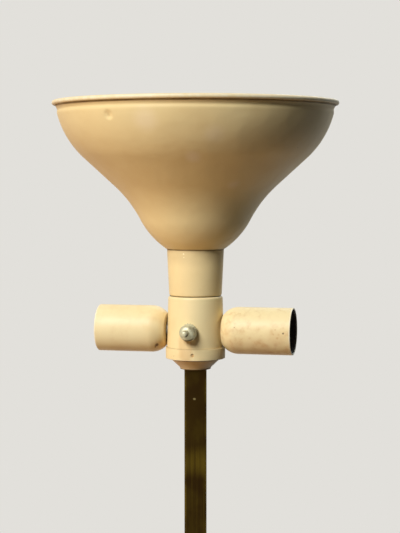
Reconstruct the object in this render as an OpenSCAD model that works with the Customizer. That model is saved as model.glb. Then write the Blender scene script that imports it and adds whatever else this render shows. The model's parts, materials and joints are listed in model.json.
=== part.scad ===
// Reflector floor lamp: an open bowl over a cluster of three lampholders, on a square brass pole.
// Millimetres, +Z up. The origin is the centre of the felt pad's underside, on the floor.
// Seen along +Y the pole shows a flat face, and the cluster is turned a little to one side.
// Heights named z_ are from the floor. Inside a piece they start at its own lowest face.

/* [Base] */
// Diameter of the round base cover
base_d = 254; // [230:2:290]
// Height of the cover's upright side
base_side_h = 12; // [12:0.5:15]
// Radius of the cover's rounded shoulder
base_shoulder_r = 8; // [6:0.5:10]
// Rise of the cover from its shoulder to its flat centre
base_rise = 3; // [2:0.5:8]
// Diameter of the cover's flat centre, which carries the pole
base_centre_d = 64; // [60:1:80]
// Sheet thickness of the cover
base_sheet = 1.2; // [0.8:0.1:1.6]
// Thickness of the felt pad
felt_t = 2; // [1.5:0.5:4]
// How far the felt's edge stays inside the cover's
felt_inset = 0.5; // [0:0.25:1]
// Gap between the iron weight and the inside of the cover's side
weight_gap = 9; // [8:0.5:14]
// Thickness of the iron weight's disc
weight_h = 13; // [11.5:0.5:14]
// Diameter of the hub on the weight, which carries the cover's centre
hub_d = 54; // [44:1:58]
// Height of the cord bushing's centre above the felt
cord_h = 6; // [5.8:0.1:6.4]
// Bore of the cord bushing
cord_bore_d = 6.8; // [5:0.1:7.4]
// Outside diameter of the cord bushing's sleeve
cord_sleeve_d = 9.4; // [8.8:0.1:9.8]
// Diameter of the cord bushing's inner flange
cord_flange_d = 11.4; // [11:0.1:11.6]
// Thickness of the cord bushing's inner flange
cord_flange_t = 1.5; // [1:0.1:2]
// Length of the cord bushing inside its flange
cord_tail = 3; // [2:0.5:4]

/* [Pole] */
// Width of the square tube across its flats
tube_w = 15.9; // [14.5:0.1:18]
// Wall of the square tube
tube_wall = 1; // [0.8:0.1:1.4]
// Outside radius of the square tube's corners
tube_corner_r = 1.8; // [1.5:0.1:2.5]
// Length of the square tube
tube_len = 1233; // [1000:1:1400]
// Height of the two plugs that centre the pipe in the tube
plug_h = 10; // [6:1:20]
// Radius of the cove round the pole collar
collar_cove_r = 10; // [6:0.5:14]
// Height of the pole collar's upright foot
collar_foot_h = 2; // [1:0.5:4]
// Metal left round the tube's corners at the top of the collar
collar_rim = 2.5; // [1.5:0.1:4]

/* [Pipe and nuts] */
// Outside diameter of the threaded pipe and nipples
pipe_d = 10.2; // [9.8:0.1:10.6]
// Bore of the pipe and nipples
pipe_bore_d = 6.4; // [5:0.1:7]
// Width across flats of the locknuts
nut_af = 14.3; // [13:0.1:15]
// Thickness of the locknuts
nut_h = 3.2; // [2.5:0.1:3.6]
// Length of pipe that stands out beyond a locknut
pipe_stub = 1.8; // [1:0.1:2.4]
// Diameter of the washer under the base weight
washer_d = 24; // [20:0.5:28]
// Thickness of that washer
washer_t = 2; // [1:0.5:3]
// Room round the washer in the weight's recess
recess_gap = 4; // [2:0.5:6]
// Room between the pipe's lower end and the felt
foot_gap = 3; // [2:0.5:4]

/* [Tapered cup] */
// Diameter of the cup at its open top
cup_top_d = 36.4; // [32:0.1:40]
// Height of the cup
cup_h = 7.7; // [6:0.1:14]
// Sheet thickness of the cup
cup_sheet = 1; // [0.8:0.1:1.5]
// How far the cup's foot stands out beyond the tube's corners
cup_overhang = 0.6; // [0:0.05:1.5]
// Height of the upright lip at the cup's foot
cup_lip_h = 1; // [0.5:0.1:1.6]

/* [Cluster body] */
// Diameter of the body at its top
body_top_d = 39; // [38:0.1:40.4]
// Diameter of the body where it enters the cap
body_bottom_d = 40.8; // [40.5:0.1:42]
// Height of the body above the cap
body_h = 36.9; // [35:0.1:42]
// Radius of the body's rounded top edge
body_edge_r = 2.2; // [1.6:0.1:4]
// Sheet thickness of the body
body_sheet = 1.2; // [1:0.1:1.5]
// Height of the cap's skirt
cap_h = 8.1; // [6:0.1:8.6]
// Thickness of the cap's skirt
cap_wall = 0.9; // [0.8:0.1:1.2]
// Thickness of the cap's plate
cap_plate_t = 1.2; // [1:0.1:1.5]
// Radius of the cap's lower edge
cap_edge_r = 0.7; // [0.4:0.1:0.8]
// Turn of the cluster about the pole, right arm towards the front
head_turn = 13; // [0:1:40]
// Depth of the lampholders' axis below the body's top
arm_drop = 24.5; // [23.5:0.1:25]
// Diameter of the cap's set screws
cap_screw_d = 2.5; // [2:0.1:3]
// Length of the cap's set screws
cap_screw_len = 3.2; // [2.5:0.1:5]
// How far the set screws lie below the outside of the cap
cap_screw_sunk = 0.6; // [0.2:0.1:0.8]
// Width and depth of the slot in a set screw
cap_screw_slot = 0.6; // [0.4:0.1:0.8]
// Turn of the set screws from the front
cap_screw_turn = 6; // [0:1:12]
// Number of set screws
cap_screws = 2; // [1:1:4]

/* [Switch] */
// Diameter of the switch housing
housing_d = 18; // [17:0.1:18.4]
// Depth of the switch housing
housing_depth = 10; // [9:0.1:10.4]
// Wall of the switch housing
housing_wall = 1.5; // [1:0.1:1.8]
// Thickness of the housing's front
housing_front = 2; // [1.5:0.1:2.4]
// Thickness of the plate that closes the housing
back_t = 1.5; // [1.2:0.1:1.8]
// Length of the switch's terminals
terminal_len = 1.5; // [1:0.1:1.6]
// Diameter of the switch's terminals
terminal_d = 2.8; // [2.2:0.1:3.4]
// Distance of the terminals from the switch's axis
terminal_off = 4.5; // [4:0.1:5]
// Diameter of the threaded bushing
bushing_d = 9.5; // [8.5:0.1:9.8]
// How far the bushing stands out beyond its ring nut
bushing_stand = 1.2; // [0.8:0.1:1.5]
// Diameter of the shaft
shaft_d = 3.2; // [2.8:0.1:3.3]
// Length of shaft behind the rotor
shaft_tail = 1.5; // [1:0.1:2]
// Thickness of the rotor
rotor_t = 4; // [3:0.1:4.4]
// Number of detent notches in the rotor
rotor_notches = 4; // [2:1:6]
// Radius of a detent notch
notch_r = 1.1; // [0.8:0.1:1.4]
// Diameter of the ring nut
ring_nut_d = 12.6; // [12:0.1:13.4]
// Thickness of the ring nut
ring_nut_t = 2; // [1.5:0.1:3]
// Diameter of the knob's skirt
knob_d = 12; // [11.6:0.1:12.8]
// Height of the knob's skirt
knob_skirt_h = 2.6; // [2.2:0.1:3.4]
// Height of the knob's dome
knob_dome_h = 5.2; // [5:0.1:7]
// Diameter of the knob's tip
tip_d = 4.8; // [4.4:0.1:5.6]
// Length of the knob's tip
tip_len = 5; // [3:0.1:7]
// Number of flutes round the knob and the ring nut
flutes = 20; // [12:1:28]
// Radius of a flute
flute_r = 0.4; // [0.3:0.05:0.5]

/* [Side lampholders] */
// Diameter of a side shell
shell_d = 33.6; // [33:0.1:36]
// Length of a side shell
shell_len = 50.8; // [48:0.1:60]
// Diameter of the flat at a side shell's inner end
shell_flat_d = 21; // [20.6:0.1:24.4]
// Length of a side shell's rounded inner end
shell_round = 11.5; // [9:0.1:12]
// Sheet thickness of a side shell
shell_sheet = 1; // [0.8:0.1:1.2]
// Thickness of the fibre liner
liner_t = 0.6; // [0.4:0.1:0.8]
// How far the liner stands out beyond the insulator, towards the mouth
liner_stand = 7.8; // [1:0.1:8.4]
// Depth of the insulator's rim inside the shell's mouth
arm_recess = 8.8; // [8.4:0.1:12]
// Diameter of the insulator's narrow base
arm_base_d = 19; // [17:0.5:20]
// Length of the insulator's narrow base
arm_base_len = 11; // [10:0.5:11.5]

/* [Lampholder insides] */
// Bore of a screw shell, which takes a 26 mm Edison screw lamp
screw_bore_d = 26.5; // [26.2:0.1:26.8]
// Sheet thickness of a screw shell
screw_sheet = 0.4; // [0.3:0.05:0.5]
// Length of a screw shell
screw_len = 24; // [21:0.5:24.5]
// Depth of a screw shell below the insulator's rim
screw_depth = 1; // [0.5:0.1:2]
// Diameter of the chamber round the centre contact
chamber_d = 18; // [16:0.5:20]
// Depth of that chamber
chamber_h = 4; // [3.5:0.1:4.5]
// Length of nipple held in an insulator
nipple_grip = 8; // [6:0.5:9]
// Diameter of the centre contact's disc
contact_d = 12; // [10:0.5:14]
// Thickness of the centre contact's disc
contact_t = 0.8; // [0.5:0.1:1]
// Diameter of the contact's domed button
button_d = 7; // [6:0.5:9]
// Height of the contact's domed button
button_h = 1.4; // [1:0.1:2]
// Diameter of the contact's stud
stud_d = 2.4; // [2:0.1:3]
// Diameter of the insulated leads
lead_d = 2; // [1.6:0.1:2.4]

/* [Neck and top lampholder] */
// Diameter of the neck cup at its top, where the bowl starts
neck_top_d = 40.8; // [40.2:0.1:42]
// Diameter of the neck cup at its bottom
neck_bottom_d = 37.6; // [37.4:0.1:39]
// Height of the neck cup
neck_h = 33.3; // [31:0.1:38]
// Radius of the neck cup's lower edge
neck_edge_r = 1.6; // [1.5:0.1:2.4]
// Sheet thickness of the neck cup
neck_sheet = 1.2; // [0.8:0.1:1.4]
// Diameter of the top insulator
top_insulator_d = 32; // [31:0.1:32.4]
// How far the top insulator stands above the bowl's floor
top_stand = 8; // [6:0.5:10]
// Diameter of the ring that clamps the bowl
clamp_d = 37.6; // [36:0.1:37.8]
// Height of the ring that clamps the bowl
clamp_h = 5; // [3:0.5:7]

/* [Bowl] */
// Outside diameter of the bowl's wall at its rim
mouth_d = 199.4; // [180:0.2:230]
// Diameter of the rolled bead round the rim
bead_d = 3.3; // [2:0.1:4]
// Sheet thickness of the bowl
bowl_sheet = 1; // [0.8:0.1:1.4]
// Lean of the wall from upright at the rim, in degrees
rim_lean = 7.5; // [0:0.5:15]
// Radius of the full shoulder below the rim
shoulder_r = 64; // [50:1:75]
// Lean of the straight flank below the shoulder
flank_lean = 47.5; // [42:0.5:55]
// Radius of the hollow waist
waist_r = 88; // [60:1:100]
// Lean of the wall at the waist's lower end
waist_lean = 27.5; // [20:0.5:35]
// Radius of the rounded foot
foot_r = 56.5; // [40:0.5:62]
// Lean of the wall where the foot meets the neck
foot_lean = 56.5; // [50:0.5:62]

/* [Fits] */
// Radial clearance of a hole round the pipe, a nipple or a screw
hole_gap = 0.15; // [0.1:0.05:0.3]
// Radial clearance of pieces that slide together once
slip_gap = 0.05; // [0.03:0.01:0.1]
// Radial clearance of the turning shaft
run_gap = 0.05; // [0.03:0.01:0.08]
// Clearance where a flat face meets the round body
seat_gap = 0.1; // [0.05:0.05:0.3]
// Clearance between the turning knob or rotor and what stands still
turn_gap = 0.4; // [0.3:0.05:0.6]

/* [Hidden] */

round_fn = 96;
arc_steps = 8;
cut = 1;

enamel = [0.93, 0.83, 0.62];
brass = [0.72, 0.56, 0.27];
aged_brass = [0.30, 0.23, 0.10];
steel = [0.70, 0.71, 0.72];
nickel = [0.80, 0.79, 0.75];
iron = [0.25, 0.25, 0.26];
phenolic = [0.12, 0.11, 0.11];
fibre = [0.35, 0.28, 0.20];
felt = [0.16, 0.22, 0.17];
cloth_wire = [0.55, 0.45, 0.28];

// Heights from the floor
z_cover_top = felt_t + base_side_h + base_shoulder_r + base_rise;
z_tube_top = z_cover_top + tube_len;
z_cap = z_tube_top + cup_h;
z_plate = z_cap + cap_plate_t;
z_body_top = z_cap + cap_h + body_h;
z_arm = z_body_top - arm_drop;
z_bowl = z_body_top + neck_h;

// Base
base_r = base_d / 2;
weight_r = base_r - base_sheet - weight_gap;
recess_h = foot_gap + pipe_stub + nut_h + washer_t;
recess_r = washer_d / 2 + recess_gap;
groove_w = cord_bore_d + 2 * slip_gap;
groove_h = cord_h + cord_bore_d / 2;
z_cord = felt_t + cord_h;
cord_out = sqrt(pow(base_r, 2) - pow(cord_sleeve_d / 2, 2));
cord_seat = sqrt(pow(base_r - base_sheet, 2) - pow(cord_flange_d / 2, 2)) - seat_gap;
cord_in = cord_seat - cord_flange_t - cord_tail;

// Pole, pipe and nuts
pipe_r = pipe_d / 2;
pipe_hole_r = pipe_r + hole_gap;
z_pipe_foot = felt_t + foot_gap;
z_pipe_top = z_plate + nut_h + pipe_stub;
nut_corner_r = nut_af / 2 / cos(30);
tube_reach = (tube_w / 2 - tube_corner_r) * sqrt(2) + tube_corner_r;
tube_inner_w = tube_w - 2 * tube_wall;
tube_inner_r = tube_corner_r - tube_wall;
collar_top_r = tube_reach + collar_rim;
collar_foot_r = collar_top_r + collar_cove_r;

// Cluster body. Heights here start at the cap's plate.
arm_h = z_arm - z_plate;
skirt_h = cap_h - cap_plate_t;
body_full_h = skirt_h + body_h;
cap_r = body_bottom_d / 2 + slip_gap + cap_wall;
function body_r(h) = h < skirt_h ? body_bottom_d / 2
    : body_bottom_d / 2 + (body_top_d - body_bottom_d) / 2 * (h - skirt_h) / body_h;
function body_inner_r(h) = body_r(h) - body_sheet;
// Largest flat distance at which something of half-width w fits inside the body's round wall
function inside_flat(h, w) = sqrt(pow(body_inner_r(h), 2) - pow(w, 2)) - seat_gap;

// Side lampholders. Distances along an arm start at the pole's axis.
shell_r = shell_d / 2;
shell_drop = (shell_d - shell_flat_d) / 2;
shell_end_angle = 2 * atan(shell_drop / shell_round);
shell_end_r = shell_round / sin(shell_end_angle);
// How far the rounded end lies back from the flat, at distance d from the arm's axis
function shell_back(d) = d < shell_flat_d / 2 ? 0
    : shell_round - sqrt(pow(shell_end_r, 2) - pow(d - shell_r + shell_end_r, 2));
cap_corner = arm_h - skirt_h;
seat_on_body = body_r(arm_h - shell_flat_d / 2);
seat_on_cap = cap_corner < shell_r ? cap_r - shell_back(cap_corner) : 0;
arm_seat = max(seat_on_body, seat_on_cap) + seat_gap;
arm_nut_face = inside_flat(arm_h + nut_corner_r, nut_corner_r);
arm_nipple_start = arm_nut_face - nut_h - pipe_stub;
arm_insulator_start = arm_seat + shell_sheet;
arm_insulator_len = shell_len - shell_sheet - arm_recess;
liner_r = shell_r - shell_sheet - slip_gap;
arm_insulator_r = liner_r - liner_t - slip_gap;
left_turn = 180 - head_turn;
right_turn = -head_turn;

// Lampholder insides
screw_out_r = screw_bore_d / 2 + screw_sheet;
screw_seat_r = screw_out_r + slip_gap;
function screw_seat(len) = len - screw_depth - screw_len;
function contact_seat(len) = screw_seat(len) - chamber_h;

// Neck and top lampholder
top_insulator_start = z_body_top + neck_sheet;
top_insulator_len = neck_h - neck_sheet + bowl_sheet + top_stand;
top_nut_face = z_body_top - body_sheet;
top_nipple_start = top_nut_face - nut_h - pipe_stub;
clamp_hole_r = top_insulator_d / 2 + slip_gap;

// Switch. Distances run from the pole's axis to the front.
switch_turn = -90 - head_turn;
housing_r = housing_d / 2;
housing_face = inside_flat(arm_h + housing_r, housing_r);
housing_open = housing_face - housing_depth;
housing_inside = housing_face - housing_front;
back_face = housing_open - back_t;
terminal_end = back_face - terminal_len;
bushing_r = bushing_d / 2;
nut_seat = body_r(arm_h - ring_nut_d / 2) + seat_gap;
nut_front = nut_seat + ring_nut_t;
bushing_end = nut_front + bushing_stand;
shaft_r = shaft_d / 2;
rotor_r = housing_r - housing_wall - turn_gap;
rotor_front = housing_inside - turn_gap;
knob_back = nut_front + turn_gap;
knob_floor = bushing_end + turn_gap;
knob_r = knob_d / 2;
knob_len = knob_skirt_h + knob_dome_h + tip_len;
shaft_end = knob_back + knob_skirt_h + knob_dome_h - slip_gap;

// Bowl. Its wall runs down from the rim through three arcs and a straight flank.
mouth_r = mouth_d / 2;
bowl_foot_r = neck_top_d / 2;
arcs_in = shoulder_r * (cos(rim_lean) - cos(flank_lean))
    + waist_r * (cos(waist_lean) - cos(flank_lean)) + foot_r * (cos(waist_lean) - cos(foot_lean));
flank_len = (mouth_r - bowl_foot_r - arcs_in) / sin(flank_lean);
arcs_down = shoulder_r * (sin(flank_lean) - sin(rim_lean))
    + waist_r * (sin(flank_lean) - sin(waist_lean)) + foot_r * (sin(foot_lean) - sin(waist_lean));
rim_h = arcs_down + flank_len * cos(flank_lean);
bowl_inner_foot_r = bowl_foot_r - bowl_sheet * cos(foot_lean)
    + bowl_sheet * (1 - sin(foot_lean)) * tan(foot_lean);

// Points round a circle's arc
function arc(cx, cy, r, from, to) =
    [for (i = [0:arc_steps]) let (a = from + (to - from) * i / arc_steps) [cx + r * cos(a), cy + r * sin(a)]];

// Where an arc of a falling wall ends: start p, lean a to lean b, radius r
function fall_end(p, a, b, r) = p + sign(b - a) * r * [cos(b) - cos(a), sin(a) - sin(b)];

// Points down such an arc, moved a distance w to the inner side of the wall
function fall(p, a, b, r, w) =
    [for (i = [0:arc_steps]) let (t = a + (b - a) * i / arc_steps) fall_end(p, a, t, r) + w * [-cos(t), sin(t)]];

rim_point = [mouth_r, rim_h];
flank_top = fall_end(rim_point, rim_lean, flank_lean, shoulder_r);
flank_foot = flank_top - flank_len * [sin(flank_lean), cos(flank_lean)];
waist_foot = fall_end(flank_foot, flank_lean, waist_lean, waist_r);
function bowl_wall(w) = concat(fall(rim_point, rim_lean, flank_lean, shoulder_r, w),
    fall(flank_foot, flank_lean, waist_lean, waist_r, w),
    fall(waist_foot, waist_lean, foot_lean, foot_r, w));

function reversed(list) = [for (i = [len(list) - 1:-1:0]) list[i]];

// ---- Shapes that repeat ----

module turned(profile) {
    rotate_extrude($fn = round_fn) polygon(profile);
}

module tube(outer_r, inner_r, h) {
    difference() {
        cylinder(r = outer_r, h = h, $fn = round_fn);
        translate([0, 0, -cut]) cylinder(r = inner_r, h = h + 2 * cut, $fn = round_fn);
    }
}

module rounded_square(w, r) {
    square([w - 2 * r, w], center = true);
    square([w, w - 2 * r], center = true);
    for (x = [-1, 1], y = [-1, 1])
        translate([x * (w / 2 - r), y * (w / 2 - r)]) circle(r = r, $fn = round_fn);
}

module locknut() {
    difference() {
        cylinder(r = nut_corner_r, h = nut_h, $fn = 6);
        translate([0, 0, -cut]) cylinder(r = pipe_r + slip_gap, h = nut_h + 2 * cut, $fn = round_fn);
    }
}

module nipple(len) {
    tube(pipe_r, pipe_bore_d / 2, len);
}

// Cuts the flutes of a knurled edge of radius r and height h
module fluting(r, h) {
    for (i = [0:flutes - 1])
        rotate([0, 0, 360 / flutes * i])
            translate([r, 0, -cut]) cylinder(r = flute_r, h = h + cut, $fn = 16);
}

// Lies along an arm of the cluster: +Z becomes the way out of the body
module on_arm(turn, out) {
    translate([0, 0, z_arm]) rotate([0, 0, turn]) rotate([0, 90, 0]) translate([0, 0, out]) children();
}

module in_cluster() {
    translate([0, 0, z_arm]) rotate([0, 0, -head_turn]) children();
}

// ---- Lampholder pieces, shared by the three lampholders ----

module insulator(len, r, base_r, base_len) {
    turned([
        [pipe_r + slip_gap, 0], [base_r, 0], [base_r, base_len], [r, base_len], [r, len],
        [screw_seat_r, len], [screw_seat_r, screw_seat(len)], [chamber_d / 2, screw_seat(len)],
        [chamber_d / 2, contact_seat(len)], [stud_d / 2 + slip_gap, contact_seat(len)],
        [stud_d / 2 + slip_gap, nipple_grip], [pipe_r + slip_gap, nipple_grip]
    ]);
}

module screw_shell() {
    turned([
        [chamber_d / 2, 0], [screw_out_r, 0], [screw_out_r, screw_len],
        [screw_bore_d / 2, screw_len], [screw_bore_d / 2, screw_sheet], [chamber_d / 2, screw_sheet]
    ]);
}

module centre_contact(len) {
    floor_h = contact_seat(len);
    disc_h = floor_h + contact_t;
    dome_r = (pow(button_d / 2, 2) + pow(button_h, 2)) / (2 * button_h);
    dome_angle = asin(button_d / 2 / dome_r);
    turned(concat(
        [[0, nipple_grip], [stud_d / 2, nipple_grip], [stud_d / 2, floor_h],
            [contact_d / 2, floor_h], [contact_d / 2, disc_h]],
        arc(0, disc_h + button_h - dome_r, dome_r, 90 - dome_angle, 90)
    ));
}

// A lead from a terminal at the back of the switch, round one bend and straight out to a contact
module lead(reach) {
    bend = terminal_end;
    translate([terminal_off + bend, -terminal_end, 0]) rotate([0, 0, 90])
        rotate_extrude(angle = 90, $fn = round_fn) translate([bend, 0]) circle(d = lead_d, $fn = 24);
    translate([terminal_off + bend, 0, 0]) rotate([0, 90, 0])
        cylinder(d = lead_d, h = reach - terminal_off - bend, $fn = 24);
}

// ---- Side lampholder pieces ----

module side_shell() {
    inner_end_r = shell_end_r - shell_sheet;
    inner_angle = asin((shell_round - shell_sheet) / inner_end_r);
    outer_end = [for (p = arc(shell_round, shell_r - shell_end_r, shell_end_r, 90, 90 + shell_end_angle))
        [p[1], p[0]]];
    inner_end = [for (p = arc(shell_round, shell_r - shell_end_r, inner_end_r, 90, 90 + inner_angle))
        [p[1], p[0]]];
    turned(concat(
        [[pipe_hole_r, 0]], reversed(outer_end), [[shell_r, shell_len], [shell_r - shell_sheet, shell_len]],
        inner_end, [[pipe_hole_r, shell_sheet]]
    ));
}

module side_liner() {
    translate([0, 0, arm_base_len])
        tube(liner_r, liner_r - liner_t, arm_insulator_len - arm_base_len + liner_stand);
}

module side_insulator() {
    insulator(arm_insulator_len, arm_insulator_r, arm_base_d / 2, arm_base_len);
}

module side_nipple() {
    nipple(arm_insulator_start + nipple_grip - arm_nipple_start);
}

// ---- Base ----

module felt_pad() {
    color(felt) cylinder(r = base_r - felt_inset, h = felt_t, $fn = round_fn);
}

module base_weight() {
    hub_h = z_cover_top - base_sheet - felt_t;
    color(iron) translate([0, 0, felt_t]) difference() {
        union() {
            cylinder(r = weight_r, h = weight_h, $fn = round_fn);
            cylinder(d = hub_d, h = hub_h, $fn = round_fn);
        }
        translate([0, 0, -cut]) cylinder(r = recess_r, h = recess_h + cut, $fn = round_fn);
        translate([0, 0, -cut]) cylinder(r = pipe_hole_r, h = hub_h + 2 * cut, $fn = round_fn);
        translate([-groove_w / 2, 0, -cut]) cube([groove_w, weight_r + cut, groove_h + cut]);
    }
}

module base_cover() {
    shoulder_x = base_r - base_shoulder_r;
    shoulder_y = felt_t + base_side_h;
    inner_r = base_shoulder_r - base_sheet;
    color(enamel) difference() {
        turned(concat(
            [[pipe_hole_r, z_cover_top], [pipe_hole_r, z_cover_top - base_sheet],
                [base_centre_d / 2, z_cover_top - base_sheet]],
            arc(shoulder_x, shoulder_y, inner_r, 90, 0),
            [[base_r - base_sheet, felt_t], [base_r, felt_t]],
            arc(shoulder_x, shoulder_y, base_shoulder_r, 0, 90),
            [[base_centre_d / 2, z_cover_top]]
        ));
        translate([0, 0, z_cord]) rotate([-90, 0, 0])
            cylinder(d = cord_sleeve_d + 2 * slip_gap, h = base_r + cut, $fn = round_fn);
    }
}

module cord_bushing() {
    color(phenolic) translate([0, cord_in, z_cord]) rotate([-90, 0, 0]) {
        tube(cord_sleeve_d / 2, cord_bore_d / 2, cord_out - cord_in);
        translate([0, 0, cord_tail]) tube(cord_flange_d / 2, cord_bore_d / 2, cord_flange_t);
    }
}

module base_washer() {
    color(steel) translate([0, 0, felt_t + recess_h - washer_t])
        tube(washer_d / 2, pipe_hole_r, washer_t);
}

module base_nut() {
    color(brass) translate([0, 0, z_pipe_foot + pipe_stub]) locknut();
}

// ---- Pole ----

module pole_collar() {
    collar_h = collar_foot_h + collar_cove_r;
    color(aged_brass) translate([0, 0, z_cover_top]) difference() {
        turned(concat(
            [[0, 0], [collar_foot_r, 0]],
            arc(collar_foot_r, collar_h, collar_cove_r, 270, 180),
            [[0, collar_h]]
        ));
        translate([0, 0, -cut]) linear_extrude(collar_h + 2 * cut)
            rounded_square(tube_w + 2 * hole_gap, tube_corner_r + hole_gap);
    }
}

module plug() {
    difference() {
        linear_extrude(plug_h) rounded_square(tube_inner_w - 2 * slip_gap, tube_inner_r + slip_gap);
        translate([0, 0, -cut]) cylinder(r = pipe_hole_r, h = plug_h + 2 * cut, $fn = round_fn);
    }
}

module lower_plug() {
    color(steel) translate([0, 0, z_cover_top]) plug();
}

module upper_plug() {
    color(steel) translate([0, 0, z_tube_top - plug_h]) plug();
}

module square_tube() {
    color(aged_brass) translate([0, 0, z_cover_top]) difference() {
        linear_extrude(tube_len) rounded_square(tube_w, tube_corner_r);
        translate([0, 0, -cut]) linear_extrude(tube_len + 2 * cut)
            rounded_square(tube_inner_w, tube_inner_r);
    }
}

module tie_pipe() {
    color(steel) translate([0, 0, z_pipe_foot]) nipple(z_pipe_top - z_pipe_foot);
}

module tube_cup() {
    foot_r = tube_reach + cup_overhang;
    top_r = cup_top_d / 2;
    color(enamel) translate([0, 0, z_tube_top]) turned([
        [pipe_hole_r, 0], [foot_r, 0], [foot_r, cup_lip_h], [top_r, cup_h], [top_r - cup_sheet, cup_h],
        [foot_r - cup_sheet, cup_lip_h + cup_sheet], [pipe_hole_r, cup_sheet]
    ]);
}

// ---- Cluster ----

module cap_screw_holes(d) {
    for (i = [0:cap_screws - 1])
        translate([0, 0, z_cap + cap_h / 2])
            rotate([0, 0, -90 - cap_screw_turn + 360 / cap_screws * i]) rotate([0, 90, 0])
                translate([0, 0, cap_r - cap_screw_sunk - cap_screw_len])
                    cylinder(d = d, h = cap_screw_len + cap_screw_sunk + cut, $fn = 32);
}

module cluster_cap() {
    inner_r = cap_r - cap_wall;
    color(enamel) difference() {
        translate([0, 0, z_cap]) turned(concat(
            [[pipe_hole_r, 0]], arc(cap_r - cap_edge_r, cap_edge_r, cap_edge_r, 270, 360),
            [[cap_r, cap_h], [inner_r, cap_h], [inner_r, cap_plate_t], [pipe_hole_r, cap_plate_t]]
        ));
        cap_screw_holes(cap_screw_d + 2 * slip_gap);
    }
}

module cap_set_screws() {
    color(steel) for (i = [0:cap_screws - 1])
        translate([0, 0, z_cap + cap_h / 2])
            rotate([0, 0, -90 - cap_screw_turn + 360 / cap_screws * i]) rotate([0, 90, 0])
                translate([0, 0, cap_r - cap_screw_sunk - cap_screw_len]) difference() {
                    cylinder(d = cap_screw_d, h = cap_screw_len, $fn = 32);
                    translate([-cap_screw_slot / 2, -cap_screw_d, cap_screw_len - cap_screw_slot])
                        cube([cap_screw_slot, 2 * cap_screw_d, cap_screw_slot + cut]);
                }
}

module cluster_nut() {
    color(brass) translate([0, 0, z_plate]) locknut();
}

module cluster_body() {
    bottom_r = body_bottom_d / 2;
    edge_lean = atan((body_bottom_d - body_top_d) / 2 / body_h);
    edge_h = body_full_h - body_edge_r;
    edge_x = body_r(edge_h) - body_edge_r;
    inner_edge_r = body_edge_r - body_sheet;
    color(enamel) difference() {
        translate([0, 0, z_plate]) turned(concat(
            [[bottom_r - body_sheet, 0], [bottom_r, 0], [bottom_r, skirt_h]],
            arc(edge_x, edge_h, body_edge_r, edge_lean, 90),
            [[pipe_hole_r, body_full_h], [pipe_hole_r, body_full_h - body_sheet]],
            arc(edge_x, edge_h, inner_edge_r, 90, edge_lean),
            [[bottom_r - body_sheet, skirt_h]]
        ));
        on_arm(left_turn, 0) cylinder(r = pipe_hole_r, h = base_r, $fn = round_fn);
        on_arm(right_turn, 0) cylinder(r = pipe_hole_r, h = base_r, $fn = round_fn);
        on_arm(switch_turn, 0) cylinder(r = bushing_r + hole_gap, h = base_r, $fn = round_fn);
        cap_screw_holes(cap_screw_d + 2 * slip_gap);
    }
}

module socket_locknuts() {
    color(brass) {
        on_arm(left_turn, arm_nut_face - nut_h) locknut();
        on_arm(right_turn, arm_nut_face - nut_h) locknut();
        translate([0, 0, top_nut_face - nut_h]) locknut();
    }
}

// ---- Switch ----

module switch_housing() {
    color(phenolic) on_arm(switch_turn, housing_open) turned([
        [bushing_r + slip_gap, housing_depth], [bushing_r + slip_gap, housing_depth - housing_front],
        [housing_r - housing_wall, housing_depth - housing_front], [housing_r - housing_wall, 0],
        [housing_r, 0], [housing_r, housing_depth]
    ]);
}

module switch_back() {
    color(phenolic) on_arm(switch_turn, back_face) cylinder(r = housing_r, h = back_t, $fn = round_fn);
}

module switch_terminals() {
    color(brass) in_cluster() for (spot = [[-1, 0], [1, 0], [0, 1]])
        translate([spot[0] * terminal_off, -terminal_end, spot[1] * terminal_off])
            rotate([90, 0, 0]) cylinder(d = terminal_d, h = terminal_len, $fn = 32);
}

module switch_bushing() {
    color(brass) on_arm(switch_turn, housing_inside)
        tube(bushing_r, shaft_r + run_gap, bushing_end - housing_inside);
}

module switch_nut() {
    color(nickel) on_arm(switch_turn, nut_seat) difference() {
        tube(ring_nut_d / 2, bushing_r + slip_gap, ring_nut_t);
        fluting(ring_nut_d / 2, ring_nut_t + cut);
    }
}

module switch_rotor() {
    color(phenolic) on_arm(switch_turn, rotor_front - rotor_t) difference() {
        tube(rotor_r, shaft_r + slip_gap, rotor_t);
        for (i = [0:rotor_notches - 1])
            rotate([0, 0, 360 / rotor_notches * i]) translate([rotor_r, 0, -cut])
                cylinder(r = notch_r, h = rotor_t + 2 * cut, $fn = 32);
    }
}

module switch_shaft() {
    start = rotor_front - rotor_t - shaft_tail;
    color(steel) on_arm(switch_turn, start) cylinder(r = shaft_r, h = shaft_end - start, $fn = round_fn);
}

module switch_knob() {
    recess_r = bushing_r + turn_gap;
    recess_h = knob_floor - knob_back;
    tip_r = tip_d / 2;
    tip_round = tip_r / 2;
    dome_top = knob_skirt_h + knob_dome_h;
    shoulder = flute_r;
    dome_a = knob_r - shoulder - tip_r;
    dome = [for (i = [0:arc_steps]) let (a = 90 * i / arc_steps)
        [tip_r + dome_a * cos(a), knob_skirt_h + (knob_dome_h - tip_round) * sin(a)]];
    color(nickel) on_arm(switch_turn, knob_back) difference() {
        turned(concat(
            [[shaft_r + slip_gap, recess_h], [recess_r, recess_h], [recess_r, 0], [knob_r, 0],
                [knob_r, knob_skirt_h]],
            dome, arc(tip_r - tip_round, knob_len - tip_round, tip_round, 0, 90),
            [[0, knob_len], [0, dome_top], [shaft_r + slip_gap, dome_top]]
        ));
        fluting(knob_r, knob_skirt_h);
    }
}

// ---- Side lampholders ----

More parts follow.
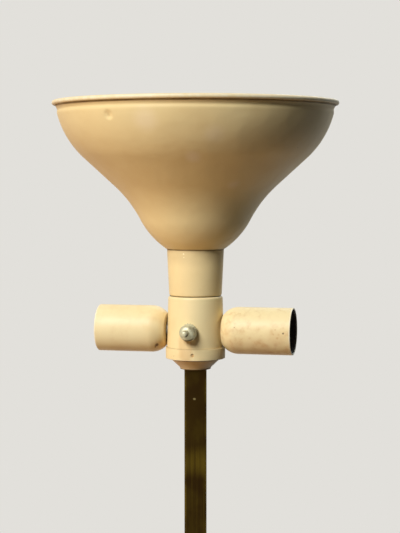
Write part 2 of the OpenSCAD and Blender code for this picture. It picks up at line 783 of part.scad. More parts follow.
module left_shell() { color(enamel) on_arm(left_turn, arm_seat) side_shell(); }
module left_liner() { color(fibre) on_arm(left_turn, arm_insulator_start) side_liner(); }
module left_insulator() { color(phenolic) on_arm(left_turn, arm_insulator_start) side_insulator(); }
module left_screw_shell() {
    color(brass) on_arm(left_turn, arm_insulator_start + screw_seat(arm_insulator_len)) screw_shell();
}
module left_contact() {
    color(brass) on_arm(left_turn, arm_insulator_start) centre_contact(arm_insulator_len);
}
module left_nipple() { color(steel) on_arm(left_turn, arm_nipple_start) side_nipple(); }
module left_lead() {
    color(cloth_wire) in_cluster() rotate([0, 180, 0]) lead(arm_insulator_start + nipple_grip);
}

module right_shell() { color(enamel) on_arm(right_turn, arm_seat) side_shell(); }
module right_liner() { color(fibre) on_arm(right_turn, arm_insulator_start) side_liner(); }
module right_insulator() { color(phenolic) on_arm(right_turn, arm_insulator_start) side_insulator(); }
module right_screw_shell() {
    color(brass) on_arm(right_turn, arm_insulator_start + screw_seat(arm_insulator_len)) screw_shell();
}
module right_contact() {
    color(brass) on_arm(right_turn, arm_insulator_start) centre_contact(arm_insulator_len);
}
module right_nipple() { color(steel) on_arm(right_turn, arm_nipple_start) side_nipple(); }
module right_lead() {
    color(cloth_wire) in_cluster() lead(arm_insulator_start + nipple_grip);
}

// ---- Neck, top lampholder and bowl ----

module neck_cup() {
    bottom_r = neck_bottom_d / 2;
    top_r = neck_top_d / 2;
    edge_x = bottom_r - neck_edge_r;
    color(enamel) translate([0, 0, z_body_top]) turned(concat(
        [[pipe_hole_r, 0]], arc(edge_x, neck_edge_r, neck_edge_r, 270, 360),
        [[top_r, neck_h], [top_r - neck_sheet, neck_h]],
        arc(edge_x, neck_edge_r, neck_edge_r - neck_sheet, 360, 270),
        [[pipe_hole_r, neck_sheet]]
    ));
}

module top_nipple() {
    color(steel) translate([0, 0, top_nipple_start])
        nipple(top_insulator_start + nipple_grip - top_nipple_start);
}

module top_insulator() {
    r = top_insulator_d / 2;
    color(phenolic) translate([0, 0, top_insulator_start]) insulator(top_insulator_len, r, r, nipple_grip);
}

module top_screw_shell() {
    color(brass) translate([0, 0, top_insulator_start + screw_seat(top_insulator_len)]) screw_shell();
}

module top_contact() {
    color(brass) translate([0, 0, top_insulator_start]) centre_contact(top_insulator_len);
}

module top_lead() {
    color(cloth_wire) in_cluster() rotate([0, -90, 0])
        lead(top_insulator_start + nipple_grip - z_arm);
}

module bowl_shade() {
    floor_hole_r = top_insulator_d / 2 + hole_gap;
    bead_r = bead_d / 2;
    color(enamel) translate([0, 0, z_bowl]) {
        turned(concat(bowl_wall(0), reversed(bowl_wall(bowl_sheet))));
        turned([[floor_hole_r, 0], [bowl_foot_r, 0], [bowl_inner_foot_r, bowl_sheet],
            [floor_hole_r, bowl_sheet]]);
        translate([0, 0, rim_h]) rotate_extrude($fn = round_fn)
            translate([mouth_r - bowl_sheet + bead_r, 0]) circle(r = bead_r, $fn = 32);
    }
}

module clamp_ring() {
    color(brass) translate([0, 0, z_bowl + bowl_sheet]) tube(clamp_d / 2, clamp_hole_r, clamp_h);
}

felt_pad();
base_weight();
base_cover();
cord_bushing();
base_washer();
base_nut();
pole_collar();
lower_plug();
square_tube();
upper_plug();
tie_pipe();
tube_cup();
cluster_cap();
cap_set_screws();  // cap_screws
cluster_nut();
cluster_body();
switch_housing();
switch_back();
switch_terminals();
switch_bushing();
switch_nut();
switch_rotor();
switch_shaft();
switch_knob();
socket_locknuts();
left_shell();
left_liner();
left_insulator();
left_screw_shell();
left_contact();
left_nipple();
left_lead();
right_shell();
right_liner();
right_insulator();
right_screw_shell();
right_contact();
right_nipple();
right_lead();
neck_cup();
top_nipple();
top_insulator();
top_screw_shell();
top_contact();
top_lead();
bowl_shade();
clamp_ring();
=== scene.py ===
"""Reflector floor lamp: the finished look of its pieces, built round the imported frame.

Metres, +Z up, the origin on the floor under the pole. The front is towards -Y. A piece that is turned on a
lathe is drawn as half an outline, a radius and a height at a time, spun about its own axis and put in place.
"""

from __future__ import annotations

import json
import logging
import math
from collections.abc import Callable, Sequence
from dataclasses import dataclass, field, replace
from enum import Enum

import bmesh
import bpy
from mathutils import Matrix, Vector


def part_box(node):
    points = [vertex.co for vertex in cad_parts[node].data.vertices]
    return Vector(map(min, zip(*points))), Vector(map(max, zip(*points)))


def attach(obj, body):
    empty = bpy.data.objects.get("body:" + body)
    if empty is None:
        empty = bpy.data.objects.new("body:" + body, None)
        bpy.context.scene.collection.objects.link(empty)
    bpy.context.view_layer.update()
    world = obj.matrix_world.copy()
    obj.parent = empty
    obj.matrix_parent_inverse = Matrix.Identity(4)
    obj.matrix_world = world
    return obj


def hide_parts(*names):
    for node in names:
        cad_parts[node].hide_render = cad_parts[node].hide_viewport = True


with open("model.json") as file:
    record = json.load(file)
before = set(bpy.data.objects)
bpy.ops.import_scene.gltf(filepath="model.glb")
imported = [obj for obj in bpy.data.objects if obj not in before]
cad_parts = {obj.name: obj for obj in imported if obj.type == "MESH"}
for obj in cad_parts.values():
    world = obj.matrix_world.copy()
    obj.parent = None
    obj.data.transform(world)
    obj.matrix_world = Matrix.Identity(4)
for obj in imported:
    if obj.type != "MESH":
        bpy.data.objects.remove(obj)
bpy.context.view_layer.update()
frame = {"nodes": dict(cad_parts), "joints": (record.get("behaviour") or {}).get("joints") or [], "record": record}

logging.basicConfig(level=logging.INFO, format="%(name)s: %(message)s")
LOG = logging.getLogger("floor_lamp")

MM = 0.001
FULL_TURN = 2 * math.pi
Colour = tuple[float, float, float, float]
Point = tuple[float, float]


# ---- Shader maths ----


def srgb(red: int, green: int, blue: int) -> Colour:
    """Turns a colour as a screen shows it into the linear one that a shader takes.

    Args:
        red: Red, 0 to 255.
        green: Green, 0 to 255.
        blue: Blue, 0 to 255.

    Returns:
        The linear colour, with full alpha.
    """
    linear = [(c / 255 / 12.92) if c <= 10 else ((c / 255 + 0.055) / 1.055) ** 2.4 for c in (red, green, blue)]
    return (linear[0], linear[1], linear[2], 1.0)


class Wire:
    """A number that changes over a surface. Python's operators on it add Math nodes."""

    def __init__(self, graph: ShaderGraph, socket: bpy.types.NodeSocket) -> None:
        """Wraps a socket.

        Args:
            graph: The material's nodes.
            socket: The output that carries the number.
        """
        self.graph = graph
        self.socket = socket

    def _math(self, operation: str, *values: Wire | float) -> Wire:
        """Adds one Math node.

        Args:
            operation: Blender's name of the operation.
            values: The node's inputs in order.

        Returns:
            The node's result.
        """
        node = self.graph.node("ShaderNodeMath", {"operation": operation}, dict(enumerate(values)))
        return Wire(self.graph, node.outputs[0])

    def __add__(self, other: Wire | float) -> Wire:
        """Sum."""
        return self._math("ADD", self, other)

    def __radd__(self, other: float) -> Wire:
        """Sum with a plain number on the left."""
        return self._math("ADD", other, self)

    def __sub__(self, other: Wire | float) -> Wire:
        """Difference."""
        return self._math("SUBTRACT", self, other)

    def __rsub__(self, other: float) -> Wire:
        """Difference from a plain number."""
        return self._math("SUBTRACT", other, self)

    def __mul__(self, other: Wire | float) -> Wire:
        """Product."""
        return self._math("MULTIPLY", self, other)

    def __rmul__(self, other: float) -> Wire:
        """Product with a plain number on the left."""
        return self._math("MULTIPLY", other, self)

    def __truediv__(self, other: Wire | float) -> Wire:
        """Quotient."""
        return self._math("DIVIDE", self, other)

    def __abs__(self) -> Wire:
        """Size without sign."""
        return self._math("ABSOLUTE", self)

    def least(self, other: Wire | float) -> Wire:
        """The smaller of the two."""
        return self._math("MINIMUM", self, other)

    def most(self, other: Wire | float) -> Wire:
        """The larger of the two."""
        return self._math("MAXIMUM", self, other)

    def fade(self, start: float, end: float) -> Wire:
        """Runs smoothly from 0 at start to 1 at end, and stays there.

        Args:
            start: Value that gives 0. It may be the larger of the two.
            end: Value that gives 1.

        Returns:
            The share, 0 to 1.
        """
        falls = start > end
        low, high = (end, start) if falls else (start, end)
        sockets = {"Value": self, "From Min": low, "From Max": high}
        node = self.graph.node("ShaderNodeMapRange", {"interpolation_type": "SMOOTHSTEP"}, sockets)
        rising = Wire(self.graph, node.outputs["Result"])
        return 1 - rising if falls else rising


class NodeGraph:
    """A tree of shader nodes."""

    def __init__(self, tree: bpy.types.NodeTree) -> None:
        """Empties a tree.

        Args:
            tree: The tree.
        """
        self.tree = tree
        self.tree.nodes.clear()

    def node(self, kind: str, settings: dict[str, object], sockets: dict[str | int, object]) -> bpy.types.Node:
        """Adds one node.

        Args:
            kind: Blender's type name of the node.
            settings: The node's own settings, set first.
            sockets: Values or links of its inputs, by name or number.

        Returns:
            The node.
        """
        node = self.tree.nodes.new(kind)
        for key, value in settings.items():
            setattr(node, key, value)
        self.feed(node, sockets)
        return node

    def feed(self, node: bpy.types.Node, sockets: dict[str | int, object]) -> None:
        """Sets or links some of a node's inputs.

        Args:
            node: The node.
            sockets: Values or links of the inputs, by name or number.
        """
        for key, value in sockets.items():
            source = value.socket if isinstance(value, Wire) else value
            if isinstance(source, bpy.types.NodeSocket):
                self.tree.links.new(source, node.inputs[key])
            else:
                node.inputs[key].default_value = source


class ShaderGraph(NodeGraph):
    """The nodes of one material, round a Principled shader."""

    def __init__(self, name: str) -> None:
        """Starts an empty material.

        Args:
            name: The material's name.
        """
        self.material = bpy.data.materials.new(name)
        self.material.use_nodes = True
        super().__init__(self.material.node_tree)
        self.shader = self.node("ShaderNodeBsdfPrincipled", {}, {})
        self.node("ShaderNodeOutputMaterial", {}, {"Surface": self.shader.outputs["BSDF"]})
        self.place = self.node("ShaderNodeTexCoord", {}, {}).outputs["Object"]

    def stretched(self, stretch: Sequence[float]) -> bpy.types.NodeSocket:
        """The place on the piece, with each axis scaled.

        Args:
            stretch: Scale along X, Y and Z.

        Returns:
            The scaled place.
        """
        if tuple(stretch) == (1, 1, 1):
            return self.place
        sockets = {0: self.place, 1: tuple(stretch)}
        return self.node("ShaderNodeVectorMath", {"operation": "MULTIPLY"}, sockets).outputs[0]

    def noise(self, scale: float, detail: float = 3.0, stretch: Sequence[float] = (1, 1, 1)) -> Wire:
        """Soft noise about 0.5.

        Args:
            scale: Features to a metre.
            detail: Number of finer layers.
            stretch: Scale along each axis before the noise.

        Returns:
            The noise, mostly 0.3 to 0.7.
        """
        sockets = {"Vector": self.stretched(stretch), "Scale": scale, "Detail": detail, "Roughness": 0.55}
        return Wire(self, self.node("ShaderNodeTexNoise", {}, sockets).outputs[0])

    def spots(self, scale: float, size: float, share: float, stretch: Sequence[float] = (1, 1, 1)) -> Wire:
        """Round spots in some of the cells of a loose grid, with ragged edges.

        Args:
            scale: Cells to a metre.
            size: Radius of a spot as a share of a cell.
            share: Share of the cells that hold one.
            stretch: Scale along each axis before the cells.

        Returns:
            1 in a spot and 0 outside.
        """
        ragged = self.noise(scale * 5, 2.0, stretch) * (0.6 * size)
        sockets = {"Vector": self.stretched(stretch), "Scale": scale}
        cells = self.node("ShaderNodeTexVoronoi", {}, sockets)
        luck = self.node("ShaderNodeSeparateColor", {}, {0: cells.outputs["Color"]}).outputs[0]
        chosen = Wire(self, luck).fade(1 - share - 0.01, 1 - share + 0.01)
        return (Wire(self, cells.outputs["Distance"]) + ragged).fade(size * 1.5, size * 1.1) * chosen

    def along(self, direction: Sequence[float]) -> Wire:
        """How far the place lies from the origin along a direction, in metres."""
        sockets = {0: self.place, 1: tuple(direction)}
        return Wire(self, self.node("ShaderNodeVectorMath", {"operation": "DOT_PRODUCT"}, sockets).outputs["Value"])

    def near(self, centre: Sequence[float], size: Sequence[float]) -> Wire:
        """How far the place lies from a centre.

        Args:
            centre: The centre.
            size: Half-widths along X, Y and Z of the egg round the centre where the answer is 1.

        Returns:
            0 at the centre, 1 on the egg, and more outside.
        """
        offset = self.node("ShaderNodeVectorMath", {"operation": "SUBTRACT"}, {0: self.place, 1: tuple(centre)})
        sockets = {0: offset.outputs[0], 1: tuple(1 / width for width in size)}
        scaled = self.node("ShaderNodeVectorMath", {"operation": "MULTIPLY"}, sockets).outputs[0]
        return Wire(self, self.node("ShaderNodeVectorMath", {"operation": "LENGTH"}, {0: scaled}).outputs["Value"])

    def marked(self, marks: Sequence[Mark], ragged: float) -> Wire | float:
        """Where a set of marks shows.

        Args:
            marks: The marks.
            ragged: How uneven their edges are, as a share of their size.

        Returns:
            The strength of the mark there, 0 to 1.
        """
        found: Wire | float = 0.0
        for mark in marks:
            uneven = (self.noise(0.8 / min(mark.size), 3.0) - 0.5) * ragged
            spot = (self.near(mark.centre, mark.size) + uneven).fade(1 + mark.soft, 1 - mark.soft) * mark.depth
            found = spot.most(found)
        return found

    def mix(self, share: Wire, first: object, second: object) -> bpy.types.NodeSocket:
        """Mixes two colours.

        Args:
            share: 0 for the first colour and 1 for the second.
            first: A colour, or the socket of one.
            second: A colour, or the socket of one.

        Returns:
            The mixed colour.
        """
        settings = {"data_type": "RGBA", "clamp_factor": True}
        return self.node("ShaderNodeMix", settings, {0: share, 6: first, 7: second}).outputs[2]

    def paint(self, colour: object, roughness: Wire | float, height: Wire, relief: float) -> None:
        """Wires what varies into the shader.

        Args:
            colour: The surface's colour, or the socket of one.
            roughness: Its roughness.
            height: Its relief, about 0 to 1.
            relief: How many metres a height of 1 stands for.
        """
        bump = self.node("ShaderNodeBump", {}, {"Height": height, "Distance": relief, "Strength": 1.0})
        self.feed(self.shader, {"Base Color": colour, "Roughness": roughness, "Normal": bump.outputs[0]})

    def fix(self, **values: float) -> None:
        """Sets what is the same all over on the shader's own sockets.

        Args:
            values: Socket names, with _ for a space, and their values.
        """
        self.feed(self.shader, {key.replace("_", " "): value for key, value in values.items()})


# ---- Finishes ----


@dataclass(frozen=True)
class Seam:
    """A line round a piece, at a distance along the piece's axis: dirt and wear at a joint, and on some pieces painted
    shade under an overhang and a painted highlight along a lit edge. Metres.
    """

    at: float
    width: float
    depth: float = 1.0


@dataclass(frozen=True)
class Mark:
    """A mark at one place: a speck, a stain, a painted highlight, a painted reflection or a spot of painted shade,
    with its centre, its half-widths along X, Y and Z, and its strength. Metres.
    """

    centre: tuple[float, float, float]
    size: tuple[float, float, float]
    depth: float = 1.0
    soft: float = 0.25


@dataclass(frozen=True)
class Finish:
    """How a surface is coloured and worn. Its relief is what a height of 1 stands for, in metres."""

    name: str
    relief: float = 0.04 * MM

    def build(self, graph: ShaderGraph) -> None:
        """Wires the finish into a material. Each kind of finish has its own."""
        raise NotImplementedError

    def material(self) -> bpy.types.Material:
        """The finish's material, made once and shared.

        Returns:
            The material.
        """
        made = bpy.data.materials.get(self.name)
        if made is None:
            graph = ShaderGraph(self.name)
            self.build(graph)
            made = graph.material
        return made


@dataclass(frozen=True)
class AgedEnamel(Finish):
    """Stoved cream enamel: faintly clouded, yellowed at its seams, with a few specks, stained spots and rubbed edge
    lines. On some pieces its seams and marks also paint shade, and its pale edge lines and pale marks paint
    highlights.
    """

    relief: float = 0.05 * MM
    tone: Colour = srgb(245, 225, 172)
    aged: Colour = srgb(230, 200, 140)
    grime_and_shade: Colour = srgb(96, 62, 18)
    speck: Colour = srgb(84, 50, 16)
    stain: Colour = srgb(206, 160, 104)
    worn_and_lit_edge_tone: Colour = srgb(252, 240, 208)
    axis: tuple[float, float, float] = (0.0, 0.0, 1.0)
    seams: tuple[Seam, ...] = ()
    worn_and_lit_edges: tuple[Seam, ...] = ()
    specks: tuple[Mark, ...] = ()
    stains_and_painted_light: tuple[Mark, ...] = ()
    dirt: float = 0.2
    mottle: float = 0.0
    speck_share: float = 0.02
    spun: float = 0.0
    waves: float = 1.2

    def lines(self, graph: ShaderGraph, seams: tuple[Seam, ...]) -> Wire | float:
        """Where a set of seams shows, from 0 to 1.

        Args:
            graph: The material's nodes.
            seams: The seams.

        Returns:
            The strength of the seam there.
        """
        reach = graph.along(self.axis)
        found: Wire | float = 0.0
        for seam in seams:
            line = abs(reach - seam.at).fade(seam.width, seam.width * 0.3) * seam.depth
            found = line.most(found)
        return found

    def build(self, graph: ShaderGraph) -> None:
        """Wires the enamel.

        Args:
            graph: The graph to wire it in.
        """
        clouds = graph.noise(14, 3.0)
        smudge = graph.noise(70, 4.0)
        rubbed = graph.noise(130, 4.0, (1.0, 1.0, 0.25)).fade(0.52, 0.72)
        seam = (0.55 + smudge * 0.7) * self.lines(graph, self.seams)
        edge = (graph.noise(190, 3.0).fade(0.36, 0.62) * 0.5 + 0.5) * self.lines(graph, self.worn_and_lit_edges)
        specks = graph.spots(330, 0.11, self.speck_share).most(graph.marked(self.specks, 0.8))
        stains_and_painted_light = (0.7 + smudge * 0.6) * graph.marked(self.stains_and_painted_light, 0.5)
        rings = graph.noise(1500, 2.0, (0.001, 0.001, 1.0))

        yellowed = clouds.fade(0.36, 0.66) * 0.3 + smudge.fade(0.42, 0.78) * self.dirt
        mottle = graph.noise(210, 6.0).fade(0.42, 0.78) * smudge.fade(0.3, 0.6) * self.mottle
        colour = graph.mix(yellowed, self.tone, self.aged)
        # Stained spots and mottle; on the bowl this tone is pale and the spots are painted highlights, and low on the
        # shells they are partly painted shade.
        colour = graph.mix(stains_and_painted_light + mottle, colour, self.stain)
        # Seams darken: dirt at joints, and on some pieces painted shade under an overhang.
        colour = graph.mix(seam, colour, self.grime_and_shade)
        # Edge lines lighten: rubbed wear, and on the bowl's bead and the shells' mouths a painted highlight.
        colour = graph.mix(edge, colour, self.worn_and_lit_edge_tone)
        colour = graph.mix(specks * 0.85, colour, self.speck)
        roughness = 0.43 + smudge * 0.1 + rubbed * 0.06 + seam * 0.2 + specks * 0.2
        height = graph.noise(420, 2.0) * 0.5 + graph.noise(45, 2.0) * self.waves - specks * 1.2 - edge * 0.4
        graph.paint(colour, roughness, height + rings * self.spun - seam * 0.5, self.relief)
        graph.fix(Coat_Weight=0.05, Coat_Roughness=0.3, Specular_IOR_Level=0.3)


@dataclass(frozen=True)
class AgedBrass(Finish):
    """Brass gone dark brown under old lacquer, drawn along Z, with olive clouds, corners lightened by rubbed wear and
    a painted reflection, and lighter areas that paint a reflection.
    """

    relief: float = 0.03 * MM
    dark: Colour = srgb(43, 28, 11)
    olive: Colour = srgb(60, 47, 14)
    bright: Colour = srgb(108, 90, 26)
    pale: Colour = srgb(170, 154, 104)
    corner: float = 0.0
    corner_band: float = 1.4 * MM
    reflection_patches: tuple[Mark, ...] = ()
    specks: tuple[Mark, ...] = ()

    def build(self, graph: ShaderGraph) -> None:
        """Wires the brass.

        Args:
            graph: The graph to wire it in.
        """
        brushed = graph.noise(1700, 3.0, (1.0, 1.0, 0.006))
        streaks = graph.noise(420, 4.0, (1.0, 1.0, 0.02))
        mottle = graph.noise(90, 6.0, (1.0, 1.0, 0.6))
        clouds = graph.noise(13, 3.0).fade(0.42, 0.68)
        # Lighter areas: painted reflections.
        patch = (streaks.fade(0.34, 0.6) * 0.6 + 0.4) * graph.marked(self.reflection_patches, 0.15)
        pale = graph.spots(150, 0.07, 0.03).most(graph.marked(self.specks, 0.8))
        parts = graph.node("ShaderNodeSeparateXYZ", {}, {0: graph.place}).outputs
        # The corners lighten: rubbed wear and a painted reflection along them.
        nearer = abs(Wire(graph, parts[0])).least(abs(Wire(graph, parts[1])))
        on_corner = nearer.fade(self.corner, self.corner + self.corner_band) if self.corner else 0.0
        rubbed = mottle.fade(0.3, 0.62) * on_corner

        colour = graph.mix(clouds * 0.45 + mottle.fade(0.44, 0.66) * 0.4, self.dark, self.olive)
        colour = graph.mix(streaks.fade(0.5, 0.7) * brushed.fade(0.4, 0.6) * 0.2 + patch * 0.4, colour, self.bright)
        colour = graph.mix(rubbed * 0.55, colour, self.bright)
        colour = graph.mix(pale * 0.8, colour, self.pale)
        roughness = 0.34 + mottle * 0.24 + brushed * 0.1 + patch * 0.06 - rubbed * 0.08
        graph.paint(colour, roughness, brushed + streaks * 0.6 + mottle * 0.8 - pale, self.relief)
        graph.fix(Metallic=1.0)


@dataclass(frozen=True)
class PlainMetal(Finish):
    """A small metal part: turned or pressed, dulled by handling, with stained spots and fine lines, and on the knob
    dark marks of dirt and painted shade.
    """

    relief: float = 0.02 * MM
    tone: Colour = srgb(196, 190, 176)
    stain: Colour = srgb(104, 92, 70)
    dull: float = 0.3
    stained: float = 0.35
    spotted: float = 0.05
    metallic: float = 1.0
    grime_and_shade: Colour = srgb(52, 40, 22)
    grime_and_shade_marks: tuple[Mark, ...] = ()

    def build(self, graph: ShaderGraph) -> None:
        """Wires the metal.

        Args:
            graph: The graph to wire it in.
        """
        cloud = graph.noise(260, 5.0)
        fine = graph.noise(2400, 2.0, (1.0, 1.0, 0.15))
        pits = graph.spots(900, 0.16, self.spotted)
        # Marks of dirt and painted shade, used on the knob.
        grime_and_shade_marks = graph.marked(self.grime_and_shade_marks, 0.5)
        colour = graph.mix(cloud.fade(0.44, 0.72) * self.stained, self.tone, self.stain)
        colour = graph.mix(pits * 0.7, colour, self.stain)
        colour = graph.mix(grime_and_shade_marks, colour, self.grime_and_shade)
        roughness = self.dull + cloud * 0.2 + fine * 0.08 + grime_and_shade_marks * 0.3
        graph.paint(colour, roughness, fine * 0.6 + cloud - pits, self.relief)
        graph.fix(Metallic=self.metallic)


@dataclass(frozen=True)
class Moulding(Finish):
    """Dark moulded phenolic: filler specks, dust and a dull shine."""

    tone: Colour = srgb(38, 33, 30)
    dust: Colour = srgb(104, 96, 84)
    dusty: float = 0.3

    def build(self, graph: ShaderGraph) -> None:
        """Wires the moulding.

        Args:
            graph: The graph to wire it in.
        """
        cloud = graph.noise(120, 4.0)
        filler = graph.spots(1100, 0.25, 0.25)
        colour = graph.mix(cloud.fade(0.45, 0.75) * self.dusty, self.tone, self.dust)
        colour = graph.mix(filler * 0.12, colour, self.dust)
        graph.paint(colour, 0.42 + cloud * 0.25, cloud * 0.5 + graph.noise(900, 2.0) * 0.3, self.relief)


@dataclass(frozen=True)
class Fibrous(Finish):
    """Pressed fibre, felt or woven thread: short strands that cross, with lint."""

    relief: float = 0.1 * MM
    tone: Colour = srgb(58, 46, 36)
    strand: Colour = srgb(96, 80, 62)
    strands: float = 900.0

    def build(self, graph: ShaderGraph) -> None:
        """Wires the fibres.

        Args:
            graph: The graph to wire it in.
        """
        one_way = graph.noise(self.strands, 3.0, (1.0, 0.15, 0.4))
        other_way = graph.noise(self.strands, 3.0, (0.2, 1.0, 0.5))
        fuzz = one_way.most(other_way)
        cloud = graph.noise(45, 3.0)
        colour = graph.mix(fuzz.fade(0.45, 0.75) * 0.7 + cloud * 0.2, self.tone, self.strand)
        graph.paint(colour, 0.86 + cloud * 0.1, fuzz, self.relief)
        graph.fix(Sheen_Weight=0.15, Specular_IOR_Level=0.2)


@dataclass(frozen=True)
class CastIron(Finish):
    """Rough sand-cast iron under thin black paint."""

    relief: float = 0.35 * MM
    tone: Colour = srgb(44, 44, 46)
    rust: Colour = srgb(92, 58, 38)

    def build(self, graph: ShaderGraph) -> None:
        """Wires the iron.

        Args:
            graph: The graph to wire it in.
        """
        sand = graph.noise(650, 4.0)
        patch = graph.noise(40, 4.0).fade(0.55, 0.75)
        colour = graph.mix(patch * 0.6, self.tone, self.rust)
        graph.paint(colour, 0.62 + sand * 0.25, sand, self.relief)
        graph.fix(Metallic=0.3)


FITTING_BRASS = PlainMetal(
    "fitting_brass", tone=srgb(186, 150, 84), stain=srgb(98, 74, 38), dull=0.28, stained=0.5, spotted=0.08,
)
WORN_NICKEL = PlainMetal(
    "worn_nickel", tone=srgb(200, 196, 164), stain=srgb(112, 92, 52), dull=0.38, stained=0.55, spotted=0.14,
    metallic=0.5,
)
ZINC_STEEL = PlainMetal(
    "zinc_steel", tone=srgb(178, 180, 182), stain=srgb(116, 108, 98), dull=0.32, stained=0.35, spotted=0.06,
)
BROWNED_STEEL = PlainMetal(
    "browned_steel", tone=srgb(214, 182, 130), stain=srgb(128, 92, 52), dull=0.5, stained=0.7, spotted=0.15,
    metallic=0.2,
)
# Near-black paint for the inside of the side shells.
DARK_SHELL_INSIDE = PlainMetal(
    "dark_shell_inside", tone=srgb(40, 34, 28), stain=srgb(22, 17, 13), dull=0.55, stained=0.6, spotted=0.1,
)
PHENOLIC = Moulding("dark_phenolic")
LINER_FIBRE = Fibrous("liner_fibre", tone=srgb(30, 24, 19), strand=srgb(54, 44, 34))
GREEN_FELT = Fibrous(
    "green_felt", tone=srgb(44, 62, 47), strand=srgb(86, 104, 84), strands=1400.0, relief=0.35 * MM,
)
WOVEN_LEAD = Fibrous(
    "woven_lead", tone=srgb(150, 126, 78), strand=srgb(196, 172, 118), strands=1800.0, relief=0.08 * MM,
)
IRON = CastIron("cast_iron")


# ---- Work on a mesh ----

SMALL_STEPS = 48


def deselect() -> None:
    """Leaves edit mode and deselects every object."""
    if bpy.context.object is not None and bpy.context.object.mode != "OBJECT":
        bpy.ops.object.mode_set(mode="OBJECT")
    bpy.ops.object.select_all(action="DESELECT")


def arc(centre: Point, radius: float, start: float, end: float, steps: int) -> list[Point]:
    """Points along a circle's arc.

    Args:
        centre: Centre of the circle.
        radius: Its radius.
        start: Angle of the first point, in degrees.
        end: Angle of the last point.
        steps: Number of steps between them.

    Returns:
        The points, both ends among them.
    """
    angles = [math.radians(start + (end - start) * i / steps) for i in range(steps + 1)]
    return [(centre[0] + radius * math.cos(a), centre[1] + radius * math.sin(a)) for a in angles]


class Outline:
    """Half the section of a turned piece: corners, some of them rounded, joined to a closed line."""

    ROUND_STEPS = 5

    def __init__(self) -> None:
        """Starts an empty outline."""
        self.corners: list[tuple[Vector, float]] = []

    def corner(self, radius: float, height: float, rounding: float = 0.0) -> Outline:
        """Adds a corner.

        Args:
            radius: Distance from the piece's axis.
            height: Distance along it.
            rounding: Radius that the corner is rounded to.

        Returns:
            The outline, for the next corner.
        """
        self.corners.append((Vector((radius, height)), rounding))
        return self

    def run(self, points: Sequence[Point]) -> Outline:
        """Adds points that are followed as they are.

        Args:
            points: The points, each a radius and a height.

        Returns:
            The outline, for the next corner.
        """
        for point in points:
            self.corner(*point)
        return self

    def points(self) -> list[Vector]:
        """The closed line's points, with its roundings.

        Returns:
            The points in order.
        """
        found: list[Vector] = []
        for i, (here, rounding) in enumerate(self.corners):
            before = self.corners[i - 1][0] - here
            after = self.corners[(i + 1) % len(self.corners)][0] - here
            if rounding <= 0:
                found.append(here)
                continue
            half = before.angle(after) / 2
            back = min(rounding / math.tan(half), before.length * 0.49, after.length * 0.49)
            first, last = here + before.normalized() * back, here + after.normalized() * back
            for step in range(self.ROUND_STEPS + 1):
                t = step / self.ROUND_STEPS
                found.append(first * (1 - t) ** 2 + here * (2 * t * (1 - t)) + last * t**2)
        return found


